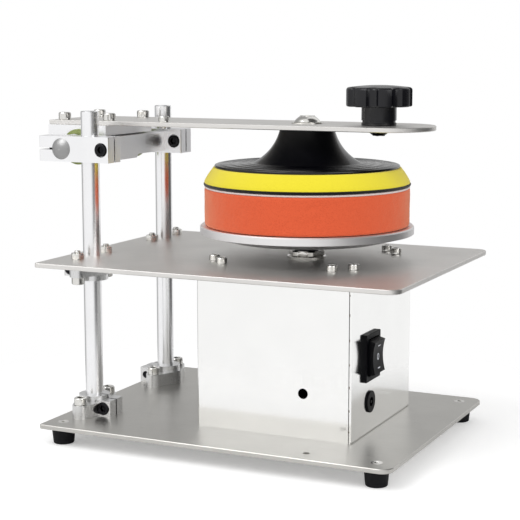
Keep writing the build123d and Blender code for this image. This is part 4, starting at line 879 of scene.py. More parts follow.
@dataclass(frozen=True)
class DomeScrew:
    """Domed screw with a cross recess.

    Attributes:
        thread: Radius of the thread.
        pitch: Rise of one turn of the thread.
        head: Radius of the head.
        height: Height of the dome.
        length: Length below the head.
    """

    thread: float
    pitch: float
    head: float
    height: float
    length: float

    def shape(self) -> Shape:
        """Makes the screw on Z=0, its head up and its thread down.

        Returns:
            The screw.
        """
        ball = (self.head**2 + self.height**2) / (2 * self.height)
        wing = self.head * 0.52
        slot = self.head * 0.11

        def cross(angle: float) -> float:
            """Gives the recess's outline.

            Args:
                angle: Angle in radians.

            Returns:
                The radius at that angle.
            """
            away = abs((angle + math.pi / 4) % (math.pi / 2) - math.pi / 4)
            along = slot / math.sin(away) if away > 1e-6 else wing
            return min(wing / math.cos(away), max(along, slot * 1.25))

        def dome(radius: float) -> float:
            """Gives the dome's height at a radius."""
            return math.sqrt(ball**2 - radius**2) - (ball - self.height)

        core = self.thread - self.pitch * 0.5
        profile: list[tuple[Radius, float]] = [
            (0, -self.length), (core - 0.4, -self.length), (core, -self.length + 0.5), (core, -0.2),
            (self.head - 0.2, 0.0), (self.head, 0.25),
        ]
        for share in (0.97, 0.93, 0.87, 0.8, 0.72, 0.64):
            profile.append((self.head * share, dome(self.head * share)))
        top = dome(wing)
        profile += [
            (wing * 1.06, top), (inset(cross, -0.12), top + 0.35), (cross, top + 0.2),
            (inset(cross, slot * 0.4), top - self.height * 0.3), (0, top - self.height * 0.42),
        ]
        made = Shape().lathe(profile, 96)
        return made.thread(self.thread, self.pitch, -self.length + 0.2, -0.2)


@dataclass(frozen=True)
class Stand:
    """Base plate on four rubber feet, with two upright rods.

    Attributes:
        foot_places: X and Y of each foot.
        foot_height: Height of a foot.
        foot_radii: Radius of a foot at the floor and under the plate.
        plate_top: Height of the base plate's upper face.
    """

    foot_places: tuple[Pair, ...] = ((-98.5, -81.8), (123.5, -81.8), (-98.5, 83.2), (123.5, 83.2))
    foot_height: float = 11.0
    foot_radii: Pair = (6.9, 8.0)
    plate_top: float = 14.0

    def build_feet(self) -> None:
        """Makes the feet: cones with a lip under the plate, a rounded rim and a dished underside."""
        low, high = self.foot_radii
        profile = [
            (0, 1.4), (low * 0.5, 1.4), (low - 1.6, 0.9), (low - 1.3, 0.25), (low - 0.9, 0.0),
            (low - 0.4, 0.05), (low - 0.08, 0.35), (low + 0.05, 0.9), (high - 0.22, self.foot_height - 1.5),
            (high - 0.02, self.foot_height - 1.2), (high, self.foot_height - 0.4),
            (high - 0.3, self.foot_height), (2.1, self.foot_height), (2.1, 4.9), (0, 4.9),
        ]
        foot = Shape().lathe(profile, 64)
        foot.stamped([upright(x, y, 0.0) for x, y in self.foot_places]).piece(
            "rubber_feet", Finish.RUBBER, Body.STAND, ["feet"])

    def build_foot_screws(self) -> None:
        """Makes the countersunk screws that hold the feet."""
        hexagon = polygon(1.25, 6)
        profile = [
            (0, -9.0), (1.4, -9.0), (1.7, -8.6), (1.7, -2.0), (3.65, -0.25), (3.7, 0.0),
            (inset(hexagon, -0.15), 0.0), (hexagon, -0.15), (hexagon, -1.3), (0, -1.7),
        ]
        screw = Shape().lathe(profile, 48).thread(2.0, 0.7, -8.7, -2.1)
        places = [upright(x, y, self.plate_top - 0.02) for x, y in self.foot_places]
        screw.stamped(places).piece("countersunk_foot_screws", Finish.SCREW, Body.STAND, ["foot_screws"])

    def build(self) -> None:
        """Makes and dresses the stand."""
        self.build_feet()
        self.build_foot_screws()
        dress(Finish.BASE, "base_plate")
        dress(Finish.ROD, "front_rod", "rear_rod")


@dataclass(frozen=True)
class RodSupports:
    """Clamping supports of the rods under the table and on the base plate, with their fasteners.

    Attributes:
        rods: X and Y of each rod.
        reach: Distance from a rod to the screws through the ears.
        base_seat: Height of the ears on the base plate.
        table_seat: Height of the ears under the table.
        plates: Undersides of the nuts under the base plate and on the table.
        clamps: Seats of the clamp screws with the way that their heads face.
    """

    rods: tuple[Pair, ...] = ((-93.5, -50.4), (-93.5, 49.4))
    reach: float = 18.0
    base_seat: float = 23.0
    table_seat: float = 110.0
    plates: Pair = (7.0, 122.0)
    clamps: tuple[tuple[float, float, float, int], ...] = (
        (-81.5, -54.8, 19.3, -1), (-105.5, 53.8, 19.3, 1),
        (-105.5, -54.8, 113.7, -1), (-81.5, 53.8, 113.7, 1))

    def places(self) -> list[Pair]:
        """Gives X and Y of every screw through an ear."""
        return [(x, y + side * self.reach) for x, y in self.rods for side in (-1, 1)]

    def build_screws(self) -> None:
        """Makes the screws through the ears and their nuts."""
        screw = CapScrew(length=17.5, **M5).shape()
        frames = [upright(x, y, self.base_seat) for x, y in self.places()]
        frames += [facing(x, y, self.table_seat, (0, 0, -1)) for x, y in self.places()]
        screw.stamped(frames).piece("support_cap_screws", Finish.SCREW, Body.STAND, ["support_screws"])
        nut = HexNut(flat=4.0, height=4.0, bore=2.1).shape()
        frames = [
            upright(x, y, height) @ turned(11 + 47 * index)
            for height in self.plates for index, (x, y) in enumerate(self.places())
        ]
        nut.stamped(frames).piece("support_hex_nuts", Finish.SCREW, Body.STAND, ["support_nuts"])

    def build_clamp_screws(self) -> None:
        """Makes the screws that close the supports on the rods."""
        screw = CapScrew(length=13.4, **M5).shape()
        frames = [facing(x, y, z, (0, way, 0)) for x, y, z, way in self.clamps]
        screw.stamped(frames).piece(
            "support_clamp_cap_screws", Finish.BLACK_SCREW, Body.STAND, ["support_clamp_screws"])

    def build(self) -> None:
        """Makes and dresses the supports."""
        dress(Finish.SUPPORT, "base_rod_supports", "table_rod_supports")
        self.build_screws()
        self.build_clamp_screws()


@dataclass(frozen=True)
class Housing:
    """Folded sheet box between the plates that hides the motor.

    Attributes:
        corner: Right and front faces of the box at the corner with the seam.
        seam: Distance of the seam from the right face.
        tacks: Heights of the weld tacks on the seam.
        screws: X and Y of the screws through its flanges.
        seats: Heights of the screw heads on the table and under the base plate.
        nuts: Heights of the nuts inside, below the table and above the base plate.
    """

    corner: Pair = (94.9, -51.5)
    seam: float = 1.6
    tacks: tuple[float, ...] = (21.5, 35.0, 50.0, 64.5, 80.0, 96.0, 108.5)
    screws: tuple[Pair, ...] = (
        (-8.6, -35.5), (1.9, -46.0), (-8.6, 42.5), (1.9, 53.0),
        (89.4, -35.5), (78.9, -46.0), (89.4, 42.5), (78.9, 53.0))
    seats: Pair = (122.0, 11.0)
    nuts: Pair = (114.3, 15.5)

    def build_tacks(self) -> None:
        """Makes the small weld tacks along the seam."""
        right, front = self.corner
        bead = [(0, -0.1), (0.5, -0.1), (0.55, 0.02), (0.38, 0.09), (0.2, 0.12), (0, 0.13)]
        frames = []
        for index, height in enumerate(self.tacks):
            stretch = Matrix.Diagonal((0.8, 1.5 + 0.35 * (index % 3), 1.0, 1.0))
            frames.append(facing(right - self.seam, front, height, (0, -1, 0)) @ stretch)
        Shape().lathe(bead, 20).stamped(frames).piece("seam_tacks", Finish.TACK, Body.STAND)

    def build_fasteners(self) -> None:
        """Makes the screws through the flanges and their nuts."""
        screw = CapScrew(length=9.2, **M4).shape()
        frames = [upright(x, y, self.seats[0]) for x, y in self.screws]
        frames += [facing(x, y, self.seats[1], (0, 0, -1)) for x, y in self.screws]
        screw.stamped(frames).piece("housing_cap_screws", Finish.SCREW, Body.STAND, ["housing_screws"])
        nut = HexNut(flat=3.5, height=3.2, bore=1.7).shape()
        frames = [upright(x, y, height) for height in self.nuts for x, y in self.screws]
        nut.stamped(frames).piece("housing_hex_nuts", Finish.SCREW, Body.STAND, ["housing_nuts"])

    def build(self) -> None:
        """Makes and dresses the housing."""
        dress(Finish.BOX, "housing_front_shell", "housing_rear_shell")
        dress(Finish.PLATE, "table_plate")
        self.build_tacks()
        self.build_fasteners()


@dataclass(frozen=True)
class Wiring:
    """Insulated wires inside the housing.

    Attributes:
        radius: Radius over the insulation.
        routes: For each wire its name, its finish, its length and the points that it follows.
    """

    radius: float = 0.9
    routes: tuple[tuple[str, Finish, float, tuple[Point, ...]], ...] = (
        ("wire_supply_minus", Finish.BLACK_WIRE, 71.3,
         ((80.1, -21.3, 34.2), (44.9, -21.3, 34.2), (44.9, -29.5, 56.4), (61.9, -23.2, 56.4),
          (64.9, -23.2, 56.4))),
        ("wire_supply_plus", Finish.RED_WIRE, 70.8,
         ((80.1, -16.9, 34.2), (44.9, -16.9, 34.2), (44.9, -21.5, 56.4), (61.9, -15.2, 56.4),
          (64.9, -15.2, 56.4))),
        ("wire_motor_minus", Finish.BLACK_WIRE, 112.4,
         ((64.9, -23.2, 64.4), (61.9, -23.2, 64.4), (28.9, -29.5, 64.4), (28.9, -29.5, 27.0),
          (27.4, 3.5, 23.0), (27.4, 3.5, 45.0))),
        ("wire_motor_plus", Finish.RED_WIRE, 106.0,
         ((64.9, -15.2, 64.4), (61.9, -15.2, 64.4), (34.9, -21.5, 64.4), (34.9, -21.5, 27.0),
          (53.4, 3.5, 23.0), (53.4, 3.5, 45.0))),
    )

    def build(self) -> None:
        """Makes the wires as smooth curves."""
        for node, finish, length, points in self.routes:
            curve = bpy.data.curves.new(node + "_lead", "CURVE")
            curve.dimensions = "3D"
            curve.bevel_depth = self.radius * MM
            curve.bevel_resolution = 4
            curve.use_fill_caps = True
            curve.resolution_u = 24
            line = curve.splines.new("NURBS")
            line.points.add(len(points) - 1)
            for knot, place in zip(line.points, points):
                knot.co = (*[value * MM for value in place], 1.0)
            line.order_u = 3
            line.use_endpoint_u = True
            curve.materials.append(finish.material())
            made = placed(node + "_lead", curve)
            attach(made, Body.STAND.value)
            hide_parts(node)
            log.info("%s: wire of %.1f mm", made.name, length)


@dataclass(frozen=True)
class PowerParts:
    """Rocker switch with its generic marks, and the power inlet.

    Attributes:
        axis: X and Z of the rocker's axis.
        middle: Y of the rocker's middle.
        face: Distance of the face's lowest and outer lines from the axis.
        reach: Height of the face's outer lines over and under the axis.
        bar: Half the length of a bar, and its height over or under the axis.
        ring: Half the width and half the height of the ring.
        stroke: Half the width of a stroke, how deep it sinks and how high it stands.
    """

    axis: Pair = (95.7, 64.4)
    middle: float = -19.2
    face: Pair = (4.6, 6.1)
    reach: float = 10.3
    bar: Pair = (2.0, 7.2)
    ring: Pair = (1.35, 1.9)
    stroke: tuple[float, float, float] = (0.32, 0.06, 0.07)

    def face_at(self, along: float) -> float:
        """Gives how far the rocker's hollow face stands out.

        Args:
            along: Height over the rocker's axis.

        Returns:
            X of the face at that height.
        """
        low, high = self.face
        ball = (self.reach**2 + (high - low) ** 2) / (2 * (high - low))
        return self.axis[0] + low + ball - math.sqrt(ball**2 - along**2)

    def mark_lines(self) -> list[list[Pair]]:
        """Gives the middle lines of the marks: a bar near each end and a ring between them.

        Returns:
            For each mark its points, across and along the face, where the ring closes on itself.
        """
        half, away = self.bar
        across, along = self.ring
        turns = [2 * math.pi * step / 28 for step in range(28)]
        bars = [[(-half, height), (half, height)] for height in (away, -away)]
        return [*bars, [(across * math.sin(turn), along * math.cos(turn)) for turn in turns]]

    def build_marks(self) -> None:
        """Makes the raised on and off marks on the rocker's face."""
        made = Shape()
        width, sunk, raised = self.stroke
        for points in self.mark_lines():
            count = len(points)
            closed = count > 2
            sections = []
            for index, (across, along) in enumerate(points):
                before = points[index - 1] if closed or index else points[index]
                after = points[(index + 1) % count] if closed or index < count - 1 else points[index]
                way = Vector((after[0] - before[0], after[1] - before[1])).normalized()
                side = Vector((-way.y, way.x)) * width
                corners = []
                for offset, lift in ((side, -sunk), (side, raised), (-side, raised), (-side, -sunk)):
                    y, z = across + offset.x, along + offset.y
                    corners.append(made.mesh.verts.new(
                        (self.face_at(z) + lift, self.middle + y, self.axis[1] + z)))
                sections.append(corners)
            pairs = list(zip(sections, sections[1:])) + ([(sections[-1], sections[0])] if closed else [])
            for first, second in pairs:
                for index in range(4):
                    follow = (index + 1) % 4
                    made.mesh.faces.new((first[index], second[index], second[follow], first[follow]))
            if not closed:
                made.mesh.faces.new(sections[0])
                made.mesh.faces.new(list(reversed(sections[-1])))
        made.piece("rocker_marks", Finish.MARK, Body.ROCKER)

    def build(self) -> None:
        """Makes the marks and dresses the switch and the inlet."""
        dress(Finish.SWITCH, "switch_body", "switch_rocker", "dc_inlet")
        dress(Finish.BRASS, "switch_terminals")
        dress(Finish.SCREW, "dc_inlet_nut")
        self.build_marks()


@dataclass(frozen=True)
class Motor:
    """Motor under the table, with its washer and nut on top.

    Attributes:
        axis: X and Y of the axis.
        nut: Half the width, height and bore's radius of the lock nut.
        nut_low: Height of the nut's underside.
    """

    axis: Pair = AXIS
    nut: tuple[float, float, float] = (11.0, 4.0, 8.6)
    nut_low: float = 123.2

    def build(self) -> None:
        """Makes the lock nut and dresses the motor."""
        nut = HexNut(*self.nut).shape()
        nut.stamped([upright(*self.axis, self.nut_low) @ turned(9)]).piece(
            "chamfered_lock_nut", Finish.SCREW, Body.STAND, ["motor_lock_nut"])
        dress(Finish.MOTOR, "motor_can")
        dress(Finish.SCREW, "motor_lock_washer", "motor_bearings")
        dress(Finish.CAP, "motor_end_cap")
        dress(Finish.MAGNET, "motor_magnets")
        dress(Finish.CARBON, "motor_brushes")
        dress(Finish.BRASS, "motor_terminals", "motor_commutator")
        dress(Finish.SPACER, "motor_shaft")
        dress(Finish.CORE, "motor_armature")


@dataclass(frozen=True)
class Turntable:
    """Disc carrier that the motor turns."""

    def build(self) -> None:
        """Dresses the turntable, its hub and its screws."""
        dress(Finish.TURNTABLE, "turntable")
        dress(Finish.HUB, "turntable_hub")
        dress(Finish.SCREW, "turntable_screws")
        dress(Finish.BLACK_SCREW, "hub_set_screw")


@dataclass(frozen=True)
class Carriage:
    """Yoke that clamps on both rods and holds the pivot shaft.

    Attributes:
        rod_clamps: Seats of the screws that clamp the rods, heads towards the front.
        shaft_clamps: Seats of the screws that clamp the shaft, heads down.
    """

    rod_clamps: tuple[Point, ...] = ((-80.5, -54.1, 193.5), (-80.5, 45.7, 193.5))
    shaft_clamps: tuple[Point, ...] = ((-123.5, -50.4, 189.3), (-123.5, 49.4, 189.3))

    def build(self) -> None:
        """Makes the carriage's screws and dresses the rest."""
        screw = CapScrew(length=11.7, **M5).shape()
        screw.stamped([facing(*place, (0, -1, 0)) for place in self.rod_clamps]).piece(
            "yoke_clamp_cap_screws", Finish.BLACK_SCREW, Body.CARRIAGE, ["yoke_clamp_screws"])
        screw = CapScrew(length=10.2, **M4).shape()
        screw.stamped([facing(*place, (0, 0, -1)) for place in self.shaft_clamps]).piece(
            "pivot_clamp_cap_screws", Finish.BLACK_SCREW, Body.CARRIAGE, ["pivot_clamp_screws"])
        dress(Finish.BLOCK, "yoke")
        dress(Finish.SHAFT, "pivot_shaft")
        dress(Finish.SPACER, "pivot_spacers")


@dataclass(frozen=True)
class Arm:
    """Hinged arm plate with its hinge block.

    Attributes:
        top: Height of the plate's upper face.
        screws: X and Y of the screws into the hinge block.
        stop: X and Y of the stop screw.
    """

    top: float = 210.8
    screws: tuple[Pair, ...] = ((-132.9, -19.5), (-132.9, 26.5), (-97.0, -19.5), (-97.0, 26.5))
    stop: Pair = (-53.5, -21.5)

    def build(self) -> None:
        """Makes the arm's screws and dresses the rest."""
        screw = CapScrew(length=9.0, **M5).shape()
        screw.stamped([upright(x, y, self.top) for x, y in self.screws]).piece(
            "arm_cap_screws", Finish.SCREW, Body.ARM, ["arm_screws"])
        screw = CapScrew(length=4.5, **M4).shape()
        screw.stamped([upright(*self.stop, self.top)]).piece(
            "stop_cap_screw", Finish.SCREW, Body.ARM, ["stop_screw"])
        dress(Finish.PLATE, "arm_plate")
        dress(Finish.BLOCK, "hinge_block")
        dress(Finish.BUSH, "pivot_bushes")


@dataclass(frozen=True)
class PolishingPad:
    """Backing with yellow foam and hooks, and the sponge with loops that they hold.

    Attributes:
        axis: X and Y of the axis.
        sponge: Radius, underside and top of the sponge.
        bore: Radius of the bore through it.
        loops: Radius and top of the loop layer.
        hooks: Radius and top of the hook layer.
        foam: Lower radius, upper radius and top of the yellow foam.
        backing: Radius, top of its rim, and top of its neck.
        flare: Radius and height of the flare's foot, waist and top.
        rings: Radii of the faint rings on the rim.
        hollow: Radius and depth of the hollow for the insert.
        bolt_seat: Height of the washer's upper face.
    """

    axis: Pair = AXIS
    sponge: tuple[float, float, float] = (68.0, 144.3, 168.8)
    bore: float = 13.0
    loops: Pair = (68.0, 170.3)
    hooks: Pair = (68.5, 172.3)
    foam: tuple[float, float, float] = (68.5, 62.2, 182.3)
    backing: tuple[float, float, float] = (61.2, 184.1, 207.8)
    flare: tuple[Pair, ...] = ((36.0, 185.1), (23.4, 195.5), (17.9, 207.8))
    rings: tuple[float, ...] = (57.0, 50.5, 44.0, 38.6)
    hollow: Pair = (7.0, 18.0)
    bolt_seat: float = 211.6

    def soft_ring(self, name: str, finish: Finish, node: str, profile: Sequence[Pair],
                  segments: int, scale: float, depth: float, closed: bool = False) -> None:
        """Makes a layer of the pad with a slightly uneven cut surface.

        Args:
            name: The piece's name.
            finish: Its finish.
            node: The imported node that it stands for.
            profile: Radius and height of each ring.
            segments: Points in each ring.
            scale: Size of the unevenness in millimetres.
            depth: Depth of the unevenness in millimetres.
            closed: Whether the last ring joins the first.
        """
        made = Shape().lathe(profile, segments, closed)
        noise.seed_set(7)
        limit = max(radius for radius, _ in profile)
        for vert in made.mesh.verts:
            reach = math.hypot(vert.co.x, vert.co.y)
            if reach < limit * 0.8:
                continue
            value = noise.fractal(vert.co / scale, 1.0, 2.0, 3)
            fine = noise.noise(vert.co * 1.3)
            change = 1.0 - depth * (0.5 + 0.4 * value + 0.35 * fine) / reach
            vert.co.x *= change
            vert.co.y *= change
        made.stamped([upright(*self.axis, 0.0)]).piece(name, finish, Body.ARM, [node], crease=60.0)

    def build_sponge(self) -> None:
        """Makes the sponge: a cut cylinder with rounded rims and a bore."""
        radius, low, high = self.sponge
        inner = self.bore
        curl = ((-2.2, 0.0), (-1.3, 0.06), (-0.7, 0.25), (-0.28, 0.65), (-0.05, 1.3))
        rim = [(radius + x, low + z) for x, z in curl]
        steps = 22
        side = [(radius, low + 1.3 + (high - low - 2.1) * index / steps) for index in range(1, steps + 1)]
        under = [(inner + (radius - 3.0 - inner) * index / 12, low) for index in range(13)]
        top = [(radius - 0.25, high - 0.3), (radius - 0.9, high), (radius * 0.5, high), (inner + 0.4, high)]
        wall = [(inner, high - 0.4), (inner, (low + high) / 2), (inner, low + 0.4)]
        self.soft_ring("sponge_disc", Finish.SPONGE, "polishing_sponge",
                       under[1:] + rim + side + top + wall, 480, 9.0, 0.4, closed=True)

    def build_loops(self) -> None:
        """Makes the loop layer on the sponge, its edge fuzzy."""
        radius, top = self.loops
        low = self.sponge[2]
        profile = [
            (0, low), (radius - 1.5, low), (radius - 0.4, low + 0.1), (radius, low + 0.45),
            (radius, low + 0.75), (radius - 0.05, low + 1.05), (radius - 0.4, top - 0.1),
            (radius - 1.5, top), (0, top),
        ]
        self.soft_ring("loop_disc", Finish.LOOP, "loop_layer", profile, 720, 3.0, 0.35)

    def build_hooks(self) -> None:
        """Makes the hook layer under the foam."""
        radius, top = self.hooks
        low = self.loops[1]
        profile = [
            (0, low), (radius - 1.2, low), (radius - 0.35, low + 0.15), (radius - 0.05, low + 0.6),
            (radius, low + 1.1), (radius - 0.05, low + 1.6), (radius - 0.4, top - 0.05), (0, top),
        ]
        self.soft_ring("hook_disc", Finish.HOOK, "hook_layer", profile, 720, 3.0, 0.3)

    def build_foam(self) -> None:
        """Makes the yellow foam: a cone with a slightly full side."""
        low_radius, high_radius, top = self.foam
        low = self.hooks[1]
        steps = 10
        side = []
        for index in range(steps + 1):
            share = index / steps
            full = 0.45 * math.sin(math.pi * share)
            reach = low_radius - 0.1 + (high_radius - low_radius) * share + full
            side.append((reach, low + (top - low) * share))
        side[0] = (low_radius - 0.5, low)
        profile = [(0, low), (low_radius * 0.9, low), *side, (high_radius - 0.8, top), (0, top)]
        self.soft_ring("foam_ring", Finish.YELLOW, "pad_foam", profile, 480, 12.0, 0.35)

    def build_backing(self) -> None:
        """Makes the backing: a thin rim with faint rings, and a flare up to the neck."""
        radius, rim_top, top = self.backing
        foot, waist, neck = self.flare
        low = self.foam[2]
        side = [
            (radius - 0.6, low), (radius - 0.1, low + 0.25), (radius, low + 0.7), (radius, rim_top - 0.75),
            (radius - 0.25, rim_top - 0.25), (radius - 0.9, rim_top),
        ]
        slope = (foot[1] - rim_top) / (radius - foot[0])
        for reach in self.rings:
            level = rim_top + (radius - reach) * slope
            side += [(reach + 0.7, level - 0.02), (reach + 0.3, level + 0.28), (reach - 0.3, level + 0.3),
                     (reach - 0.7, level + 0.04)]
        side += arc_through(foot, waist, neck, 26)[:-2]
        hollow, depth = self.hollow
        profile = [
            (0, low), *side, (neck[0], top - 0.2), (neck[0] - 0.3, top), (hollow, top),
            (hollow, top - depth), (0, top - depth),
        ]
        made = Shape().lathe(profile, 144)
        made.stamped([upright(*self.axis, 0.0)]).piece(
            "flared_backing", Finish.BACKING, Body.ARM, ["pad_backing"], crease=40.0)

    def build(self) -> None:
        """Makes and dresses the pad."""
        self.build_sponge()
        self.build_loops()
        self.build_hooks()
        self.build_foam()
        self.build_backing()
        bolt = DomeScrew(thread=5.0, pitch=1.25, head=9.0, height=5.2, length=18.8).shape()
        bolt.stamped([upright(*self.axis, self.bolt_seat) @ turned(20)]).piece(
            "domed_pad_bolt", Finish.SCREW, Body.ARM, ["pad_bolt"])
        dress(Finish.SCREW, "pad_washer")
        dress(Finish.BRASS, "pad_insert")


@dataclass(frozen=True)
class Knob:
    """Star knob on the arm, with its screw from below.

    Attributes:
        place: X and Y of its axis.
        seat: Height of the plate's upper face.
        stem: Radius and height of the stem.
        head: Radius and height of the head without its dome.
        dome: Height of the dome.
        lobes: Number of lobes.
        scallop: Radius of a scallop, and how far its centre lies outside the rim.
        phase: Angle of the first scallop in degrees.
        groove: Depth and width of the groove in the stem.
        bore: Radius and depth of the bore for the insert.
        plate_bottom: Height of the plate's underside.
    """

    place: Pair = (90.5, 3.5)
    seat: float = 210.8
    stem: Pair = (11.3, 12.0)
    head: Pair = (21.2, 12.0)
    dome: float = 1.7
    lobes: int = 8
    scallop: Pair = (4.6, 2.1)
    phase: float = 8.1
    groove: Pair = (0.6, 1.6)
    bore: Pair = (5.0, 16.0)
    plate_bottom: float = 207.8

    def outline(self, shrink: float) -> Outline:
        """Gives the scalloped rim, its lobes rounded, as radius by angle.

        Args:
            shrink: How far inside the rim the outline lies.

        Returns:
            The radius at each angle in radians.
        """
        rim = self.head[0]
        hollow, outside = self.scallop
        middle = rim + outside
        step = 2 * math.pi / self.lobes

        def reach(angle: float) -> float:
            """Gives the rim's radius.

            Args:
                angle: Angle in radians.

            Returns:
                The radius at that angle.
            """
            away = (angle - math.radians(self.phase) + step / 2) % step - step / 2
            across = middle * math.sin(away)
            if abs(across) >= hollow:
                return rim - shrink
            cut = middle * math.cos(away) - math.sqrt(hollow**2 - across**2)
            soft = 0.35
            share = max(0.0, min(1.0, 0.5 + 0.5 * (cut - rim) / soft))
            return cut * (1 - share) + rim * share - soft * share * (1 - share) - shrink

        return reach

    def build_head(self) -> None:
        """Makes the knob: a stem with a groove and a scalloped head with rounded edges."""
        stem, rise = self.stem
        rim, height = self.head
        depth, width = self.groove
        high = rise + height
        ball = (rim**2 + self.dome**2) / (2 * self.dome)

        def level(radius: float) -> float:
            """Gives the dome's height at a radius."""
            return high + self.dome - (ball - math.sqrt(ball**2 - radius**2))

        profile: list[tuple[Radius, float]] = [
            (self.bore[0], 0.0), (stem - 0.35, 0.0), (stem, 0.35), (stem, width),
            (stem - depth, width + 0.15), (stem - depth, 2 * width - 0.15), (stem, 2 * width),
            (stem, rise - 0.5), (stem + 0.15, rise - 0.15), (stem + 0.5, rise),
            (self.outline(1.1), rise), (self.outline(0.55), rise + 0.15), (self.outline(0.15), rise + 0.5),
            (self.outline(0.0), rise + 1.1), (self.outline(0.0), high - 1.4),
            (self.outline(0.15), high - 0.7), (self.outline(0.55), high - 0.15),
            (self.outline(1.2), high + 0.22), (self.outline(2.2), high + 0.45),
            *[(radius, level(radius)) for radius in (15.2, 11.0, 6.0)], (0, level(0.0)),
        ]
        made = Shape().lathe(profile, 384)
        inside = [(self.bore[0], 0.0), (self.bore[0], self.bore[1]), (0, self.bore[1])]
        made = Shape.joined(made, Shape().lathe(inside, 384))
        bmesh.ops.remove_doubles(made.mesh, verts=made.mesh.verts, dist=0.0005)
        made.stamped([upright(*self.place, self.seat)]).piece(
            "star_knob_head", Finish.KNOB, Body.ARM, ["star_knob"], crease=50.0)

    def build(self) -> None:
        """Makes and dresses the knob."""
        self.build_head()
        screw = DomeScrew(thread=3.0, pitch=1.0, head=7.2, height=4.4, length=17.0).shape()
        screw.stamped([facing(*self.place, self.plate_bottom, (0, 0, -1))]).piece(
            "domed_knob_screw", Finish.BLACK_SCREW, Body.ARM, ["knob_screw"])
        dress(Finish.BRASS, "knob_insert")


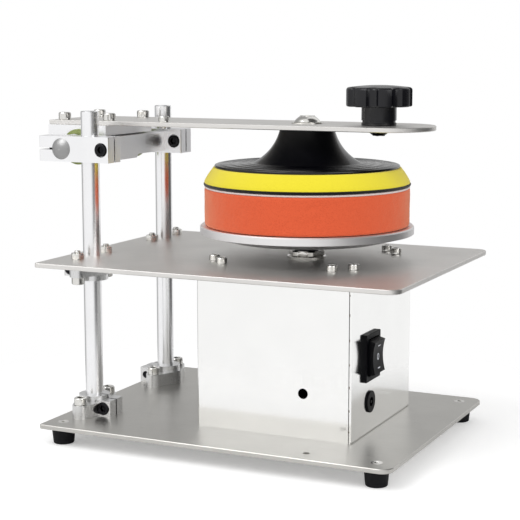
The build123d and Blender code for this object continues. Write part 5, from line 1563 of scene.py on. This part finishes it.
@dataclass(frozen=True)
class Studio:
    """Plain pale floor, soft lamps and the camera.

    Attributes:
        camera_place: Where the camera stands, in metres.
        camera_turn: Its turn about X, Y and Z in degrees.
        lens: Its focal length in millimetres.
        sensor: Width of its sensor in millimetres.
        floor: Radii in metres between which the floor fades into the white all round.
        sink: How far the floor lies under the feet, in metres.
        white: Display colour of the floor.
        lift: Light that the floor adds where the camera sees it, and where the metal sees it.
        ambient: Strength of the light from all round.
        walls: How bright the metal sees the room, by angle from X in degrees.
        lamps: Name, place in metres, side in metres and power in watts of each lamp.
        aim: Place in metres that the lamps point at.
    """

    camera_place: Point = (0.4130, -0.8602, 0.2623)
    camera_turn: Point = (81.39, 0.03, 25.23)
    lens: float = 98.65
    sensor: float = 36.0
    floor: Pair = (0.20, 0.29)
    sink: float = 0.0002
    white: float = 0.97
    lift: Pair = (0.3, 0.06)
    ambient: float = 0.62
    walls: tuple[Pair, ...] = (
        (-180.0, 0.6), (-165.0, 0.97), (-62.0, 1.0), (-46.0, 0.9), (-34.0, 0.25), (-20.0, 0.1), (40.0, 0.09),
        (58.0, 0.2), (66.0, 0.97), (80.0, 0.95), (100.0, 0.65), (128.0, 0.62), (142.0, 0.4), (166.0, 0.4),
        (180.0, 0.6))
    lamps: tuple[tuple[str, Point, float, float], ...] = (
        ("key", (-0.6, -1.1, 1.5), 1.2, 14.0), ("fill", (1.5, -0.6, 0.9), 1.0, 8.0))
    aim: Point = (0.0, 0.0, 0.12)

    def seen_plainly(self, tree: bpy.types.NodeTree) -> bpy.types.NodeSocket:
        """Adds nodes that tell the camera, metal and clear stock from diffuse light.

        Args:
            tree: The node tree that they go into.

        Returns:
            A value of 1 for the camera, metal and clear stock, and of 0 for diffuse light.
        """
        path = tree.nodes.new("ShaderNodeLightPath")
        value = path.outputs["Is Camera Ray"]
        for name in ("Is Transmission Ray", "Is Glossy Ray"):
            either = tree.nodes.new("ShaderNodeMath")
            either.operation = "MAXIMUM"
            tree.links.new(value, either.inputs[0])
            tree.links.new(path.outputs[name], either.inputs[1])
            value = either.outputs[0]
        return value

    def build_floor(self) -> None:
        """Makes the floor, a disc with a soft edge, pure white to the camera where no shadow falls."""
        near, far = self.floor
        data = bpy.data.meshes.new("studio_floor")
        mesh = bmesh.new()
        bmesh.ops.create_circle(mesh, cap_ends=True, segments=96, radius=far)
        mesh.to_mesh(data)
        mesh.free()
        floor = placed("studio_floor", data)
        floor.location.z = -self.sink
        shader = Shader("pale_floor")
        shader.set(Roughness=0.9, Specular_IOR_Level=0.0, Base_Color=linear((self.white,) * 3),
                   Emission_Color=(1.0, 1.0, 1.0, 1.0))
        path = shader.node("LightPath")
        seen, shone = self.lift
        lift = shader.spread(path.outputs["Is Glossy Ray"], 0.0, shone)
        plain = shader.node("Math", operation="MULTIPLY_ADD")
        shader.link(path.outputs["Is Camera Ray"], plain.inputs[0])
        plain.inputs[1].default_value = seen
        shader.link(lift, plain.inputs[2])
        reach = shader.node("VectorMath", operation="LENGTH")
        shader.link(shader.node("TexCoord").outputs["Object"], reach.inputs[0])
        shader.wear(Emission_Strength=plain.outputs[0],
                    Alpha=shader.spread(reach.outputs["Value"], 1.0, 0.0, near, far))
        data.materials.append(shader.material)

    def build_world(self) -> None:
        """Makes the light from all round, and the white room with a darker side that the metal sees."""
        world = bpy.data.worlds.new("studio")
        world.use_nodes = True
        bpy.context.scene.world = world
        tree = world.node_tree
        back = tree.nodes["Background"]
        back.inputs["Color"].default_value = (1.0, 1.0, 1.0, 1.0)
        around = tree.nodes.new("ShaderNodeTexGradient")
        around.gradient_type = "RADIAL"
        tree.links.new(tree.nodes.new("ShaderNodeTexCoord").outputs["Generated"], around.inputs["Vector"])
        walls = tree.nodes.new("ShaderNodeValToRGB")
        walls.color_ramp.interpolation = "EASE"
        stops = walls.color_ramp.elements
        while len(stops) > 1:
            stops.remove(stops[-1])
        for index, (angle, bright) in enumerate(self.walls):
            stop = stops.new(angle / 360 + 0.5) if index else stops[0]
            stop.position = angle / 360 + 0.5
            stop.color = (bright, bright, bright, 1.0)
        tree.links.new(around.outputs["Fac"], walls.inputs["Fac"])
        path = tree.nodes.new("ShaderNodeLightPath")
        level = tree.nodes.new("ShaderNodeMapRange")
        level.inputs["To Min"].default_value = self.ambient
        level.inputs["To Max"].default_value = 1.0
        tree.links.new(self.seen_plainly(tree), level.inputs["Value"])
        shown = tree.nodes.new("ShaderNodeMix")
        shown.data_type = "FLOAT"
        tree.links.new(path.outputs["Is Glossy Ray"], shown.inputs[0])
        tree.links.new(level.outputs["Result"], shown.inputs[2])
        tree.links.new(walls.outputs["Color"], shown.inputs[3])
        tree.links.new(shown.outputs[0], back.inputs["Strength"])

    def build_lamp(self, name: str, place: Point, size: float, power: float) -> None:
        """Makes a soft square lamp aimed at the machine.

        Args:
            name: The lamp's name.
            place: Where it hangs, in metres.
            size: Its side in metres.
            power: Its power in watts.
        """
        data = bpy.data.lights.new(name, "AREA")
        data.size = size
        data.energy = power
        lamp = placed(name, data)
        lamp.location = place
        lamp.rotation_euler = (Vector(self.aim) - Vector(place)).to_track_quat("-Z", "Y").to_euler()

    def build_camera(self) -> None:
        """Makes the camera."""
        data = bpy.data.cameras.new("camera")
        data.lens = self.lens
        data.sensor_width = self.sensor
        camera = placed("camera", data)
        camera.location = self.camera_place
        camera.rotation_euler = tuple(math.radians(value) for value in self.camera_turn)
        bpy.context.scene.camera = camera

    def build(self) -> None:
        """Makes the whole studio."""
        bpy.context.scene.view_settings.view_transform = "Standard"
        self.build_floor()
        self.build_world()
        for lamp in self.lamps:
            self.build_lamp(*lamp)
        self.build_camera()


def main() -> None:
    """Builds every sub-assembly in order and reports each."""
    logging.basicConfig(level=logging.INFO, format="%(message)s")
    for part in (Studio(), Stand(), RodSupports(), Housing(), Wiring(), PowerParts(), Motor(), Turntable(),
                 Carriage(), Arm(), PolishingPad(), Knob()):
        log.info("%s", type(part).__name__)
        part.build()


if __name__ == "__main__":
    main()
